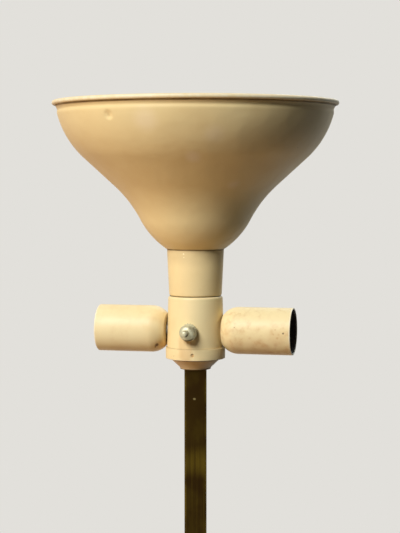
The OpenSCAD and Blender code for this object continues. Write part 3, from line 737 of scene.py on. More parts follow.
class Workpiece:
    """One piece on the bench, shaped by Blender's own tools."""

    def __init__(self, name: str, obj: bpy.types.Object) -> None:
        """Takes an object on the bench.

        Args:
            name: The piece's name.
            obj: Its mesh object.
        """
        self.obj = obj
        self.obj.name = name
        self.obj.data.name = name

    @staticmethod
    def draw(line: Sequence[Vector], lift: float = 0.0) -> None:
        """Draws a line of edges beside the Z axis, as a new object that stays in edit mode.

        Args:
            line: Its points, a distance from the axis and a height each.
            lift: How much higher the whole line goes.
        """
        deselect()
        bpy.ops.mesh.primitive_circle_add(vertices=3, radius=MM, location=(0, 0, 0), enter_editmode=True)
        bpy.ops.mesh.merge(type="CENTER")
        bpy.ops.transform.translate(value=(line[0].x, 0, line[0].y + lift))
        for here, there in zip(line, line[1:]):
            move = {"value": (there.x - here.x, 0, there.y - here.y)}
            bpy.ops.mesh.extrude_region_move(TRANSFORM_OT_translate=move)

    @classmethod
    def turned(cls, name: str, outline: Outline, steps: int = 96) -> Workpiece:
        """Turns a closed outline about the Z axis.

        Args:
            name: The piece's name.
            outline: Half its section.
            steps: Faces round the piece.

        Returns:
            The piece, with its axis on Z.
        """
        cls.draw(outline.points())
        mesh = bmesh.from_edit_mesh(bpy.context.object.data)
        for vertex in mesh.verts:
            vertex.select = len(vertex.link_edges) < 2
        bmesh.update_edit_mesh(bpy.context.object.data)
        bpy.ops.mesh.edge_face_add()
        bpy.ops.mesh.select_all(action="SELECT")
        bpy.ops.mesh.spin(steps=steps, angle=FULL_TURN, center=(0, 0, 0), axis=(0, 0, 1))
        bpy.ops.mesh.select_all(action="SELECT")
        bpy.ops.mesh.remove_doubles(threshold=0.002 * MM)
        bpy.ops.mesh.select_all(action="SELECT")
        bpy.ops.mesh.normals_make_consistent(inside=False)
        bpy.ops.object.mode_set(mode="OBJECT")
        return cls(name, bpy.context.object)

    @classmethod
    def bar(cls, name: str, width: float, rounding: float, bottom: float, top: float, wall: float) -> Workpiece:
        """Draws a square tube or bar along Z, with rounded corners.

        Args:
            name: The piece's name.
            width: Width across its flats.
            rounding: Outside radius of its corners.
            bottom: Height of its lower end.
            top: Height of its upper end.
            wall: Wall of a tube, or 0 for a solid bar.

        Returns:
            The piece.
        """
        deselect()
        bpy.ops.mesh.primitive_plane_add(size=width, location=(0, 0, bottom), enter_editmode=True)
        bpy.ops.mesh.select_all(action="SELECT")
        bpy.ops.mesh.bevel(offset=rounding, segments=8, affect="VERTICES")
        bpy.ops.mesh.select_all(action="SELECT")
        bpy.ops.mesh.extrude_region_move(TRANSFORM_OT_translate={"value": (0, 0, top - bottom)})
        if wall > 0:
            mesh = bmesh.from_edit_mesh(bpy.context.object.data)
            for face in mesh.faces:
                face.select_set(abs(face.normal.z) > 0.9)
            bmesh.update_edit_mesh(bpy.context.object.data)
            bpy.ops.mesh.delete(type="ONLY_FACE")
        bpy.ops.mesh.select_all(action="SELECT")
        bpy.ops.mesh.normals_make_consistent(inside=False)
        bpy.ops.object.mode_set(mode="OBJECT")
        bpy.ops.object.transform_apply(location=True, rotation=True, scale=True)
        piece = cls(name, bpy.context.object)
        if wall > 0:
            piece.modified("SOLIDIFY", thickness=wall, offset=-1.0, use_even_offset=True)
        return piece

    @classmethod
    def rod(cls, radius: float, origin: Vector, direction: Vector, start: float, end: float) -> Workpiece:
        """Makes a plain rod to cut a hole with.

        Args:
            radius: Its radius.
            origin: Point that its length is measured from.
            direction: Its direction.
            start: Distance to its near end.
            end: Distance to its far end.

        Returns:
            The rod.
        """
        outline = Outline().corner(0, start).corner(radius, start).corner(radius, end).corner(0, end)
        return cls.turned("hole", outline, SMALL_STEPS).placed(origin, direction)

    def select(self) -> None:
        """Makes this piece the only selected and the active object."""
        deselect()
        self.obj.select_set(True)
        bpy.context.view_layer.objects.active = self.obj

    def modified(self, kind: str, **settings: object) -> Workpiece:
        """Adds a modifier and applies it.

        Args:
            kind: Blender's type name of the modifier.
            settings: The modifier's settings.

        Returns:
            The piece.
        """
        self.select()
        modifier = self.obj.modifiers.new(kind.title(), kind)
        for key, value in settings.items():
            setattr(modifier, key, value)
        bpy.ops.object.modifier_apply(modifier=modifier.name)
        return self

    def cut(self, cutter: Workpiece) -> Workpiece:
        """Cuts another piece's shape out of this one and takes that piece off the bench.

        Args:
            cutter: The shape to cut out.

        Returns:
            The piece.
        """
        self.modified("BOOLEAN", object=cutter.obj, operation="DIFFERENCE", solver="EXACT")
        bpy.data.objects.remove(cutter.obj, do_unlink=True)
        return self

    def joined(self, other: Workpiece) -> Workpiece:
        """Joins another piece's mesh to this one.

        Args:
            other: The piece that is taken in.

        Returns:
            The piece.
        """
        self.select()
        other.obj.select_set(True)
        bpy.ops.object.join()
        return self

    def edit(self, chosen: Callable[[Vector], bool]) -> None:
        """Enters edit mode with some vertices selected.

        Args:
            chosen: Says for a vertex's place if it is selected.
        """
        self.select()
        bpy.ops.object.mode_set(mode="EDIT")
        bpy.ops.mesh.select_mode(type="VERT")
        bpy.ops.mesh.select_all(action="DESELECT")
        mesh = bmesh.from_edit_mesh(self.obj.data)
        for vertex in mesh.verts:
            vertex.select = chosen(vertex.co)
        mesh.select_flush(True)
        bmesh.update_edit_mesh(self.obj.data)

    def fluted(self, count: int, depth: float, outer: float, low: float, high: float, steps: int) -> Workpiece:
        """Presses flutes into the outer wall of a piece that was turned about Z.

        Args:
            count: Number of flutes.
            depth: Depth of a flute.
            outer: Radius of the wall.
            low: Height where the flutes start.
            high: Height where they end.
            steps: Faces round the piece.

        Returns:
            The piece.
        """
        per_flute = steps // count
        reach = per_flute // 2
        for offset in range(reach):
            share = 1 - (offset / reach) ** 2

            def in_flute(place: Vector, offset: int = offset) -> bool:
                """Picks the outer points that lie a number of steps from a flute's middle.

                Args:
                    place: A vertex's place.
                    offset: The number of steps.

                Returns:
                    True for such a point.
                """
                index = round(math.atan2(place.y, place.x) / FULL_TURN * steps) % per_flute
                near = index in (offset, (per_flute - offset) % per_flute)
                return near and low <= place.z <= high and place.xy.length > outer - 0.1 * MM

            self.edit(in_flute)
            size = (outer - depth * share) / outer
            bpy.ops.transform.resize(value=(size, size, 1), center_override=(0, 0, 0))
        bpy.ops.object.mode_set(mode="OBJECT")
        return self

    def placed(self, origin: Vector, direction: Vector) -> Workpiece:
        """Lays the piece's Z axis along a direction from an origin, in its mesh.

        Args:
            origin: Where the piece's own origin goes.
            direction: Where its Z axis points.

        Returns:
            The piece.
        """
        self.select()
        turn = direction.to_track_quat("Z", "Y").to_matrix().to_4x4()
        self.obj.matrix_world = Matrix.Translation(origin) @ turn
        bpy.ops.object.transform_apply(location=True, rotation=True, scale=True)
        return self

    def dressed(self, finish: Finish, angle: float = 32.0) -> Workpiece:
        """Shades the piece smooth where it is round and gives it its finish.

        Args:
            finish: The finish.
            angle: Edges sharper than this many degrees stay sharp.

        Returns:
            The piece.
        """
        self.select()
        bpy.ops.object.shade_smooth_by_angle(angle=math.radians(angle))
        self.obj.data.materials.clear()
        self.obj.data.materials.append(finish.material())
        return self

    def also(self, finish: Finish, chosen: Callable[[bpy.types.MeshPolygon], bool]) -> Workpiece:
        """Gives some faces a second finish.

        Args:
            finish: The second finish.
            chosen: Says for a face if it has it.

        Returns:
            The piece.
        """
        self.obj.data.materials.append(finish.material())
        second = len(self.obj.data.materials) - 1
        for face in self.obj.data.polygons:
            if chosen(face):
                face.material_index = second
        return self

    def hand_over(self, body: str, slot: str, node: str) -> None:
        """Puts the piece in the frame in place of its CAD node.

        Args:
            body: The body that it rides on.
            slot: The record's material slot; not used.
            node: The node that it stands for.
        """
        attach(self.obj, body)
        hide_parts(node)
        LOG.info("%s: %d faces, for %s", self.obj.name, len(self.obj.data.polygons), node)


# ---- What the frame says ----


class Frame:
    """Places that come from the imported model."""

    LAMP = "lamp"
    SWITCH = "switch"

    @staticmethod
    def bottom(node: str) -> float:
        """Height of a node's lowest point."""
        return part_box(node)[0].z

    @staticmethod
    def top(node: str) -> float:
        """Height of a node's highest point."""
        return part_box(node)[1].z

    @staticmethod
    def radius(node: str) -> float:
        """Largest distance that an upright node reaches from the pole's axis along X."""
        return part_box(node)[1].x

    @staticmethod
    def span(node: str) -> tuple[float, float, float]:
        """Heights of an upright node's lowest and highest points, and its radius."""
        low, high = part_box(node)
        return low.z, high.z, high.x

    @staticmethod
    def arm(mount: str) -> tuple[Vector, Vector]:
        """The line that runs out from the pole's axis through a mount.

        Args:
            mount: The mount's name.

        Returns:
            Where the line starts on the pole's axis, and its direction.
        """
        found = next(m for m in frame["record"]["mounts"] if m["name"] == mount)
        return Vector((0, 0, found["pos_m"][2])), Vector(found["axis"])

    @staticmethod
    def switch_axis() -> tuple[Vector, Vector]:
        """Where the switch's axis starts on the pole's axis, and its direction."""
        joint = frame["joints"][0]
        return Vector((0, 0, joint["pos_m"][2])), Vector(joint["axis"])

    @staticmethod
    def reach(node: str, origin: Vector, direction: Vector) -> tuple[float, float]:
        """How near and how far a node lies along a direction.

        Args:
            node: The CAD node.
            origin: Where the distance is measured from.
            direction: The direction, of length 1.

        Returns:
            The least and the greatest distance.
        """
        along = [(vertex.co - origin).dot(direction) for vertex in frame["nodes"][node].data.vertices]
        return min(along), max(along)


# ---- Base ----


@dataclass
class Base:
    """Felt, cover and cord bushing of the round base."""

    shoulder_r: float = 8 * MM
    sheet: float = 1.2 * MM
    centre_r: float = 32 * MM
    rise: float = 3 * MM
    hem_r: float = 0.5 * MM
    hole_r: float = 5.25 * MM
    cord_hole_r: float = 4.75 * MM
    cord_bore_r: float = 3.4 * MM
    cord_sleeve_r: float = 4.7 * MM
    cord_tail: float = 3 * MM
    cord_flange_t: float = 1.5 * MM
    cord_edge_r: float = 0.3 * MM
    felt_edge_r: float = 0.6 * MM
    steps: int = 192

    def felt(self) -> None:
        """Makes the felt pad."""
        low, high, radius = Frame.span("felt_pad")
        outline = Outline().corner(0, low).corner(radius, low, self.felt_edge_r)
        outline.corner(radius, high, self.felt_edge_r).corner(0, high)
        piece = Workpiece.turned("felt_pad_pressed", outline, self.steps).dressed(GREEN_FELT)
        piece.hand_over(Frame.LAMP, "felt", "felt_pad")

    def cover(self) -> None:
        """Makes the enamelled cover, with its hem and the hole for the cord."""
        low, high, radius = Frame.span("base_cover")
        shoulder = (radius - self.shoulder_r, high - self.rise - self.shoulder_r)
        inside = self.shoulder_r - self.sheet
        outline = Outline().corner(self.hole_r, high).corner(self.hole_r, high - self.sheet)
        outline.corner(self.centre_r, high - self.sheet, self.centre_r / 2)
        outline.run(arc(shoulder, inside, 90, 0, 12))
        outline.corner(radius - self.sheet, low, self.hem_r).corner(radius, low, self.hem_r)
        outline.run(arc(shoulder, self.shoulder_r, 0, 90, 16))
        outline.corner(self.centre_r, high, self.centre_r / 2)
        piece = Workpiece.turned("base_cover_pressed", outline, self.steps)
        origin, direction = Frame.arm("cord_entry")
        cutter = Workpiece.rod(self.cord_hole_r, origin, direction, 0, radius)
        seams = (Seam(low, 4 * MM), Seam(high, 0.4 * MM, 0.4))
        enamel = AgedEnamel("base_enamel", seams=seams, dirt=0.5, speck_share=0.14, worn_and_lit_edges=(Seam(low, 0.8 * MM),))
        piece.cut(cutter).dressed(enamel).hand_over(Frame.LAMP, "enamel", "base_cover")

    def bushing(self) -> None:
        """Makes the bushing that the cord passes through."""
        origin, direction = Frame.arm("cord_entry")
        start, end = Frame.reach("cord_bushing", origin, direction)
        flange_r = (Frame.top("cord_bushing") - Frame.bottom("cord_bushing")) / 2
        flange = start + self.cord_tail
        edge = self.cord_edge_r
        outline = Outline().corner(self.cord_bore_r, end, edge).corner(self.cord_bore_r, start, edge)
        outline.corner(self.cord_sleeve_r, start, edge).corner(self.cord_sleeve_r, flange)
        outline.corner(flange_r, flange, edge).corner(flange_r, flange + self.cord_flange_t, edge)
        outline.corner(self.cord_sleeve_r, flange + self.cord_flange_t)
        outline.corner(self.cord_sleeve_r, end, edge)
        piece = Workpiece.turned("cord_bushing_moulded", outline, SMALL_STEPS).placed(origin, direction)
        piece.dressed(PHENOLIC).hand_over(Frame.LAMP, "phenolic", "cord_bushing")

    def build(self) -> None:
        """Makes the base."""
        self.felt()
        self.cover()
        self.bushing()


# ---- Pole ----


@dataclass
class Pole:
    """Square brass tube and the coved collar at its foot."""

    corner_r: float = 1.8 * MM
    wall: float = 1 * MM
    cove_r: float = 10 * MM
    foot_h: float = 2 * MM
    foot_edge_r: float = 0.3 * MM
    cove_edge_r: float = 0.4 * MM
    fit: float = 0.15 * MM
    reflection_drop: float = 67 * MM
    reflection_h: float = 9 * MM
    speck_drop: float = 21 * MM

    def tube(self) -> None:
        """Makes the square tube, tarnished unevenly, with a lighter olive area near its top that is a painted
        reflection, and a pale speck.
        """
        low, high, half = Frame.span("square_tube")
        piece = Workpiece.bar("square_tube_brushed", 2 * half, self.corner_r, low, high, self.wall)
        # The lighter area is a painted reflection on the tube's faces.
        patch = Mark((0.5 * half, 0.0, high - self.reflection_drop), (2.2 * half, 2.2 * half, self.reflection_h), soft=0.6)
        speck = Mark((-0.1 * half, -half, high - self.speck_drop), (0.9 * MM, 2 * MM, 0.7 * MM), 0.6, 0.5)
        brass = AgedBrass("pole_brass", corner=half - self.corner_r, reflection_patches=(patch,), specks=(speck,))
        piece.dressed(brass).hand_over(Frame.LAMP, "aged_brass", "square_tube")

    def collar(self) -> None:
        """Makes the collar that covers the joint with the base."""
        low, high, radius = Frame.span("pole_collar")
        outline = Outline().corner(0, low).corner(radius, low, self.foot_edge_r)
        cove = arc((radius, low + self.foot_h + self.cove_r), self.cove_r, 270, 180, 14)
        outline.corner(radius, cove[0][1], self.cove_edge_r).run(cove[1:-1])
        outline.corner(*cove[-1], self.foot_edge_r).corner(0, high)
        piece = Workpiece.turned("pole_collar_turned", outline, 96)
        width = 2 * (Frame.radius("square_tube") + self.fit)
        hole = Workpiece.bar("collar_hole", width, self.corner_r + self.fit, low - self.foot_h, high + self.foot_h, 0)
        piece.cut(hole).dressed(AgedBrass("collar_brass")).hand_over(Frame.LAMP, "aged_brass", "pole_collar")

    def build(self) -> None:
        """Makes the pole."""
        self.tube()
        self.collar()


# ---- Cluster ----


@dataclass
class Cluster:
    """Tapered cup, cap, set screws, round body and neck: the enamelled pieces on the pole's axis."""

    hole_r: float = 5.25 * MM
    edge_r: float = 0.3 * MM
    cup_sheet: float = 1 * MM
    cup_lip_h: float = 1 * MM
    cup_lip_r: float = 0.45 * MM
    cup_foot_r: float = 11.1 * MM
    cup_waist_edge_r: float = 0.25 * MM
    cup_inside_r: float = 1 * MM
    cap_wall: float = 0.9 * MM
    cap_plate: float = 1.2 * MM
    cap_edge_r: float = 0.7 * MM
    cap_skirt_edge_r: float = 0.15 * MM
    cap_inside_r: float = 0.5 * MM
    body_sheet: float = 1.2 * MM
    body_top_r: float = 19.5 * MM
    body_edge_r: float = 2.2 * MM
    body_foot_edge_r: float = 0.2 * MM
    bushing_hole_r: float = 4.9 * MM
    screw_r: float = 1.25 * MM
    screw_fit: float = 0.05 * MM
    screw_len: float = 3.2 * MM
    screw_edge: float = 0.25 * MM
    screw_slot: float = 0.6 * MM
    screw_turn: float = 6.0
    neck_sheet: float = 1.2 * MM
    neck_foot_r: float = 18.8 * MM
    neck_edge_r: float = 1.6 * MM
    steps: int = 128

    def screw_ways(self) -> list[tuple[Vector, Vector]]:
        """Where the set screws sit.

        Returns:
            Each screw's origin on the pole's axis, and its direction.
        """
        low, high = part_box("cap_screws")
        origin = Vector((0, 0, (low.z + high.z) / 2))
        angle = math.radians(-90 - self.screw_turn)
        front = Vector((math.cos(angle), math.sin(angle), 0))
        return [(origin, front), (origin, -front)]

    def cup(self) -> None:
        """Makes the tapered cup, with the lip at its foot."""
        low, high, top_r = Frame.span("tube_cup")
        foot_r = self.cup_foot_r
        outline = Outline().corner(self.hole_r, low).corner(foot_r, low, self.cup_lip_r)
        outline.corner(foot_r, low + self.cup_lip_h, self.cup_waist_edge_r).corner(top_r, high, self.edge_r)
        outline.corner(top_r - self.cup_sheet, high, self.edge_r)
        outline.corner(foot_r - self.cup_sheet, low + self.cup_lip_h + self.cup_sheet, self.cup_inside_r)
        outline.corner(self.hole_r, low + self.cup_sheet)
        # The cup's tone is darker than the other enamel, and its top band is darker still: painted shade under the
        # cap's overhang. It also darkens in a narrow band at its foot.
        seams = (Seam(high, 1.3 * MM), Seam(low, 1.0 * MM, 0.9))
        enamel = AgedEnamel("cup_enamel", tone=srgb(216, 188, 142), seams=seams, dirt=0.4)
        piece = Workpiece.turned("tube_cup_spun", outline, self.steps).dressed(enamel)
        piece.hand_over(Frame.LAMP, "enamel", "tube_cup")

    def cap(self) -> None:
        """Makes the cap that closes the body from below, with its screw holes."""
        low, high, radius = Frame.span("cluster_cap")
        inner_r = radius - self.cap_wall
        outline = Outline().corner(self.hole_r, low).corner(radius, low, self.cap_edge_r)
        outline.corner(radius, high, self.edge_r).corner(inner_r, high, self.cap_skirt_edge_r)
        outline.corner(inner_r, low + self.cap_plate, self.cap_inside_r).corner(self.hole_r, low + self.cap_plate)
        piece = Workpiece.turned("cluster_cap_spun", outline, self.steps)
        for origin, direction in self.screw_ways():
            screw_hole_r = self.screw_r + self.screw_fit
            piece.cut(Workpiece.rod(screw_hole_r, origin, direction, inner_r - MM, radius + MM))
        enamel = AgedEnamel(
            "cap_enamel", seams=(Seam(high, 0.4 * MM, 0.35),), worn_and_lit_edges=(Seam(low, 0.7 * MM),),
            stains_and_painted_light=(self.darker_patch_under_knob(),), dirt=0.3, speck_share=0.06,
        )
        piece.dressed(enamel).hand_over(Frame.LAMP, "enamel", "cluster_cap")

    def darker_patch_under_knob(self) -> Mark:
        """The darker tan patch on the body and the cap under the knob, a little to the left, running downwards."""
        skirt = Frame.top("cluster_cap")
        return Mark((-7.2 * MM, -Frame.radius("cluster_cap"), skirt + 2 * MM), (5 * MM, 12 * MM, 13 * MM), 0.42, 0.3)

    @staticmethod
    def specks(node: str, radius: float, *spots: tuple[float, float, float]) -> tuple[Mark, ...]:
        """Small specks on the front of an upright piece; on the neck they are pale painted highlights.

        Args:
            node: The piece's node.
            radius: Its radius there.
            spots: Each speck's place along X, its drop from the piece's top, and its half-width.

        Returns:
            The specks.
        """
        top = Frame.top(node)
        return tuple(
            Mark((x, -math.sqrt(radius**2 - x**2), top - drop), (half, 2 * half, half), soft=0.4)
            for x, drop, half in spots
        )

    def screws(self) -> None:
        """Makes the slotted set screws, sunk a little below the cap's side."""
        made: list[Workpiece] = []
        for number, (origin, direction) in enumerate(self.screw_ways()):
            far = Frame.reach("cap_screws", origin, direction)[1]
            near, edge = far - self.screw_len, self.screw_edge
            outline = Outline().corner(0, near).corner(self.screw_r - edge, near).corner(self.screw_r, near + edge)
            outline.corner(self.screw_r, far, edge).corner(0, far)
            screw = Workpiece.turned(f"set_screw_{number}", outline, SMALL_STEPS)
            slot = Workpiece.bar("slot", 1.0, 0.1, far - self.screw_slot, far + MM, 0)
            slot.select()
            slot.obj.scale = (self.screw_slot, 4 * self.screw_r, 1)
            bpy.ops.object.transform_apply(location=False, rotation=False, scale=True)
            made.append(screw.cut(slot).placed(origin, direction))
        piece = made[0].joined(made[1])
        piece.obj.name = "cap_screws_slotted"
        piece.dressed(BROWNED_STEEL).hand_over(Frame.LAMP, "steel", "cap_screws")

    def body(self) -> None:
        """Makes the round body, with its holes for the side lampholders and the switch."""
        low, high, radius = Frame.span("cluster_body")
        skirt = Frame.top("cluster_cap")
        sheet, foot_edge_r = self.body_sheet, self.body_foot_edge_r
        outline = Outline().corner(radius - sheet, low, foot_edge_r).corner(radius, low, foot_edge_r)
        outline.corner(radius, skirt)
        outline.corner(self.body_top_r, high, self.body_edge_r).corner(self.hole_r, high)
        outline.corner(self.hole_r, high - sheet)
        outline.corner(self.body_top_r - sheet, high - sheet, self.body_edge_r - sheet).corner(radius - sheet, skirt)
        piece = Workpiece.turned("cluster_body_spun", outline, self.steps)
        side_hole, switch_hole, screw_hole = self.hole_r, self.bushing_hole_r, self.screw_r + self.screw_fit
        for mount in ("left_lampholder", "right_lampholder"):
            piece.cut(Workpiece.rod(side_hole, *Frame.arm(mount), radius / 2, 2 * radius))
        piece.cut(Workpiece.rod(switch_hole, *Frame.switch_axis(), radius / 2, 2 * radius))
        for way in self.screw_ways():
            piece.cut(Workpiece.rod(screw_hole, *way, radius - 2 * sheet, 2 * radius))
        seams = (Seam(skirt, 0.5 * MM, 0.35), Seam(high, 0.5 * MM, 0.6))
        enamel = AgedEnamel("body_enamel", seams=seams, stains_and_painted_light=(self.darker_patch_under_knob(),), speck_share=0.006)
        piece.dressed(enamel).hand_over(Frame.LAMP, "enamel", "cluster_body")

    def neck(self) -> None:
        """Makes the neck that carries the bowl."""
        low, high, top_r = Frame.span("neck_cup")
        sheet, foot_r = self.neck_sheet, self.neck_foot_r
        outline = Outline().corner(self.hole_r, low).corner(foot_r, low, self.neck_edge_r)
        outline.corner(top_r, high, self.edge_r).corner(top_r - sheet, high, self.edge_r)
        outline.corner(foot_r - sheet, low + sheet, self.neck_edge_r - sheet).corner(self.hole_r, low + sheet)
        # The wide faint seam at the neck's top is painted shade: the bowl's shadow on the neck.
        seams = (Seam(high, 0.9 * MM, 0.8), Seam(high, 14 * MM, 0.2), Seam(low, 0.5 * MM))
        # The neck's specks are pale, and so are its few random ones: painted highlights, small glints on the enamel.
        specks = self.specks(
            "neck_cup", top_r, (-8.4 * MM, 2.6 * MM, 0.5 * MM), (-8.2 * MM, 5.0 * MM, 0.4 * MM)
        )
        enamel = AgedEnamel(
            "neck_enamel", tone=srgb(243, 219, 163), speck=srgb(255, 240, 196), seams=seams, specks=specks,
            speck_share=0.01,
        )
        piece = Workpiece.turned("neck_cup_spun", outline, self.steps).dressed(enamel)
        piece.hand_over(Frame.LAMP, "enamel", "neck_cup")

    def build(self) -> None:
        """Makes the cluster's enamelled pieces."""
        self.cup()
        self.cap()
        self.screws()
        self.body()
        self.neck()


# ---- Lampholders ----


@dataclass
class ScrewSocket:
    """Brass screw shell with its rolled thread, and the centre contact under it."""

    pitch: float = 3.63 * MM
    thread_depth: float = 0.42 * MM
    outer_r: float = 13.65 * MM
    sheet: float = 0.4 * MM
    edge_r: float = 0.2 * MM
    lip_h: float = 1.2 * MM
    floor_r: float = 9 * MM
    chamber_h: float = 4 * MM
    contact_r: float = 6 * MM
    contact_t: float = 0.8 * MM
    button_r: float = 3.5 * MM
    button_h: float = 1.4 * MM
    stud_r: float = 1.2 * MM
    steps: int = 72
    wave_steps: int = 12

    def shell(self, name: str, length: float) -> Workpiece:
        """Makes a screw shell along Z, from its floor at 0 to its mouth.

        Args:
            name: The piece's name.
            length: Its length.

        Returns:
            The shell.
        """
        turns = math.ceil(length / self.pitch) + 1
        middle_r = self.outer_r - self.sheet / 2 - self.thread_depth
        line = []
        for i in range(self.wave_steps + 1):
            share = i / self.wave_steps
            line.append(Vector((middle_r + self.thread_depth * math.cos(FULL_TURN * share), share * self.pitch)))
        Workpiece.draw(line, -self.pitch)
        bpy.ops.object.mode_set(mode="OBJECT")
        piece = Workpiece(name, bpy.context.object)
        piece.modified(
            "SCREW", angle=FULL_TURN, screw_offset=self.pitch, iterations=turns, steps=self.steps,
            render_steps=self.steps, use_merge_vertices=True, merge_threshold=0.01 * MM,
        )
        piece.select()
        bpy.ops.object.mode_set(mode="EDIT")
        for height, keep_above in ((self.sheet, True), (length, False)):
            bpy.ops.mesh.select_all(action="SELECT")
            bpy.ops.mesh.bisect(
                plane_co=(0, 0, height), plane_no=(0, 0, 1), clear_inner=keep_above, clear_outer=not keep_above,
            )
        bpy.ops.mesh.select_all(action="SELECT")
        bpy.ops.mesh.remove_doubles(threshold=0.01 * MM)
        bpy.ops.object.mode_set(mode="OBJECT")
        piece.modified("SOLIDIFY", thickness=self.sheet, offset=0.0)
        lip_r = self.outer_r - self.thread_depth
        outline = Outline().corner(self.floor_r, 0).corner(lip_r, 0, self.edge_r).corner(lip_r, self.lip_h)
        outline.corner(lip_r - self.sheet, self.lip_h).corner(lip_r - self.sheet, self.sheet)
        outline.corner(self.floor_r, self.sheet)
        return piece.joined(Workpiece.turned("shell_floor", outline, self.steps))

    def contact(self, name: str, start: float, floor: float) -> Workpiece:
        """Makes a centre contact along Z.

        Args:
            name: The piece's name.
            start: Where its stud starts.
            floor: Where its disc lies on the insulator.

        Returns:
            The contact.
        """
        disc = floor + self.contact_t
        dome_r = (self.button_r**2 + self.button_h**2) / (2 * self.button_h)
        spread = math.degrees(math.asin(self.button_r / dome_r))
        outline = Outline().corner(0, start).corner(self.stud_r, start).corner(self.stud_r, floor)
        outline.corner(self.contact_r, floor, self.edge_r).corner(self.contact_r, disc, self.edge_r)
        outline.run(arc((0, disc + self.button_h - dome_r), dome_r, 90 - spread, 90, 10))
        return Workpiece.turned(name, outline, SMALL_STEPS)


class Place(Enum):
    """Where a lampholder is on the cluster, as the viewer sees it."""

    LEFT = "left"
    RIGHT = "right"
    TOP = "top"


@dataclass
class Lampholder:
    """What the lampholders share: the insulator's hollow and the brass in it, along the lampholder's own axis."""

    where: Place
    slip: float = 0.05 * MM
    stud_hole_r: float = 1.25 * MM
    nipple_r: float = 5.15 * MM
    nipple_grip: float = 8 * MM
    thread_angle: float = 50.0
    socket: ScrewSocket = field(default_factory=ScrewSocket)
    steps: int = 96

    def __post_init__(self) -> None:
        """Reads the lampholder's axis from the frame."""
        self.origin, self.direction = Frame.arm(self.node("lampholder"))

    def node(self, part: str) -> str:
        """Name of one of this lampholder's nodes."""
        return f"{self.where.value}_{part}"

    def reach(self, part: str) -> tuple[float, float]:
        """How near and how far a part lies along the axis."""
        return Frame.reach(self.node(part), self.origin, self.direction)

    def finish_piece(self, piece: Workpiece, finish: Finish, slot: str, part: str) -> None:
        """Puts a piece that was made along Z on the axis, dresses it and hands it over.

        Args:
            piece: The piece.
            finish: Its finish.
            slot: The record's material slot.
            part: The part that it stands for.
        """
        piece.placed(self.origin, self.direction).dressed(finish).hand_over(Frame.LAMP, slot, self.node(part))

    def hollow(self, outline: Outline, rim_r: float) -> None:
        """Adds the inside to the insulator's outline: the mouth, the two seats and the nipple's bore.

        Args:
            outline: The outline of its outside, which ends at the mouth.
            rim_r: Rounding of the mouth's edge.
        """
        near, far = self.reach("insulator")
        shell_floor = self.reach("screw_shell")[0]
        contact_floor = shell_floor - self.socket.chamber_h
        seat_r, floor_r, grip = self.socket.outer_r + self.slip, self.socket.floor_r, near + self.nipple_grip
        outline.corner(seat_r, far, rim_r).corner(seat_r, shell_floor).corner(floor_r, shell_floor)
        outline.corner(floor_r, contact_floor).corner(self.stud_hole_r, contact_floor)
        outline.corner(self.stud_hole_r, grip).corner(self.nipple_r, grip)

    def brass(self) -> None:
        """Makes the screw shell and the contact."""
        near, far = self.reach("screw_shell")
        shell = self.socket.shell(f"{self.node('screw_shell')}_rolled", far - near)
        shell.placed(self.origin + self.direction * near, self.direction)
        shell.dressed(FITTING_BRASS, self.thread_angle)
        shell.hand_over(Frame.LAMP, "brass_fittings", self.node("screw_shell"))
        start, floor = self.reach("contact")[0], near - self.socket.chamber_h
        contact = self.socket.contact(f"{self.node('contact')}_pressed", start, floor)
        self.finish_piece(contact, FITTING_BRASS, "brass_fittings", "contact")


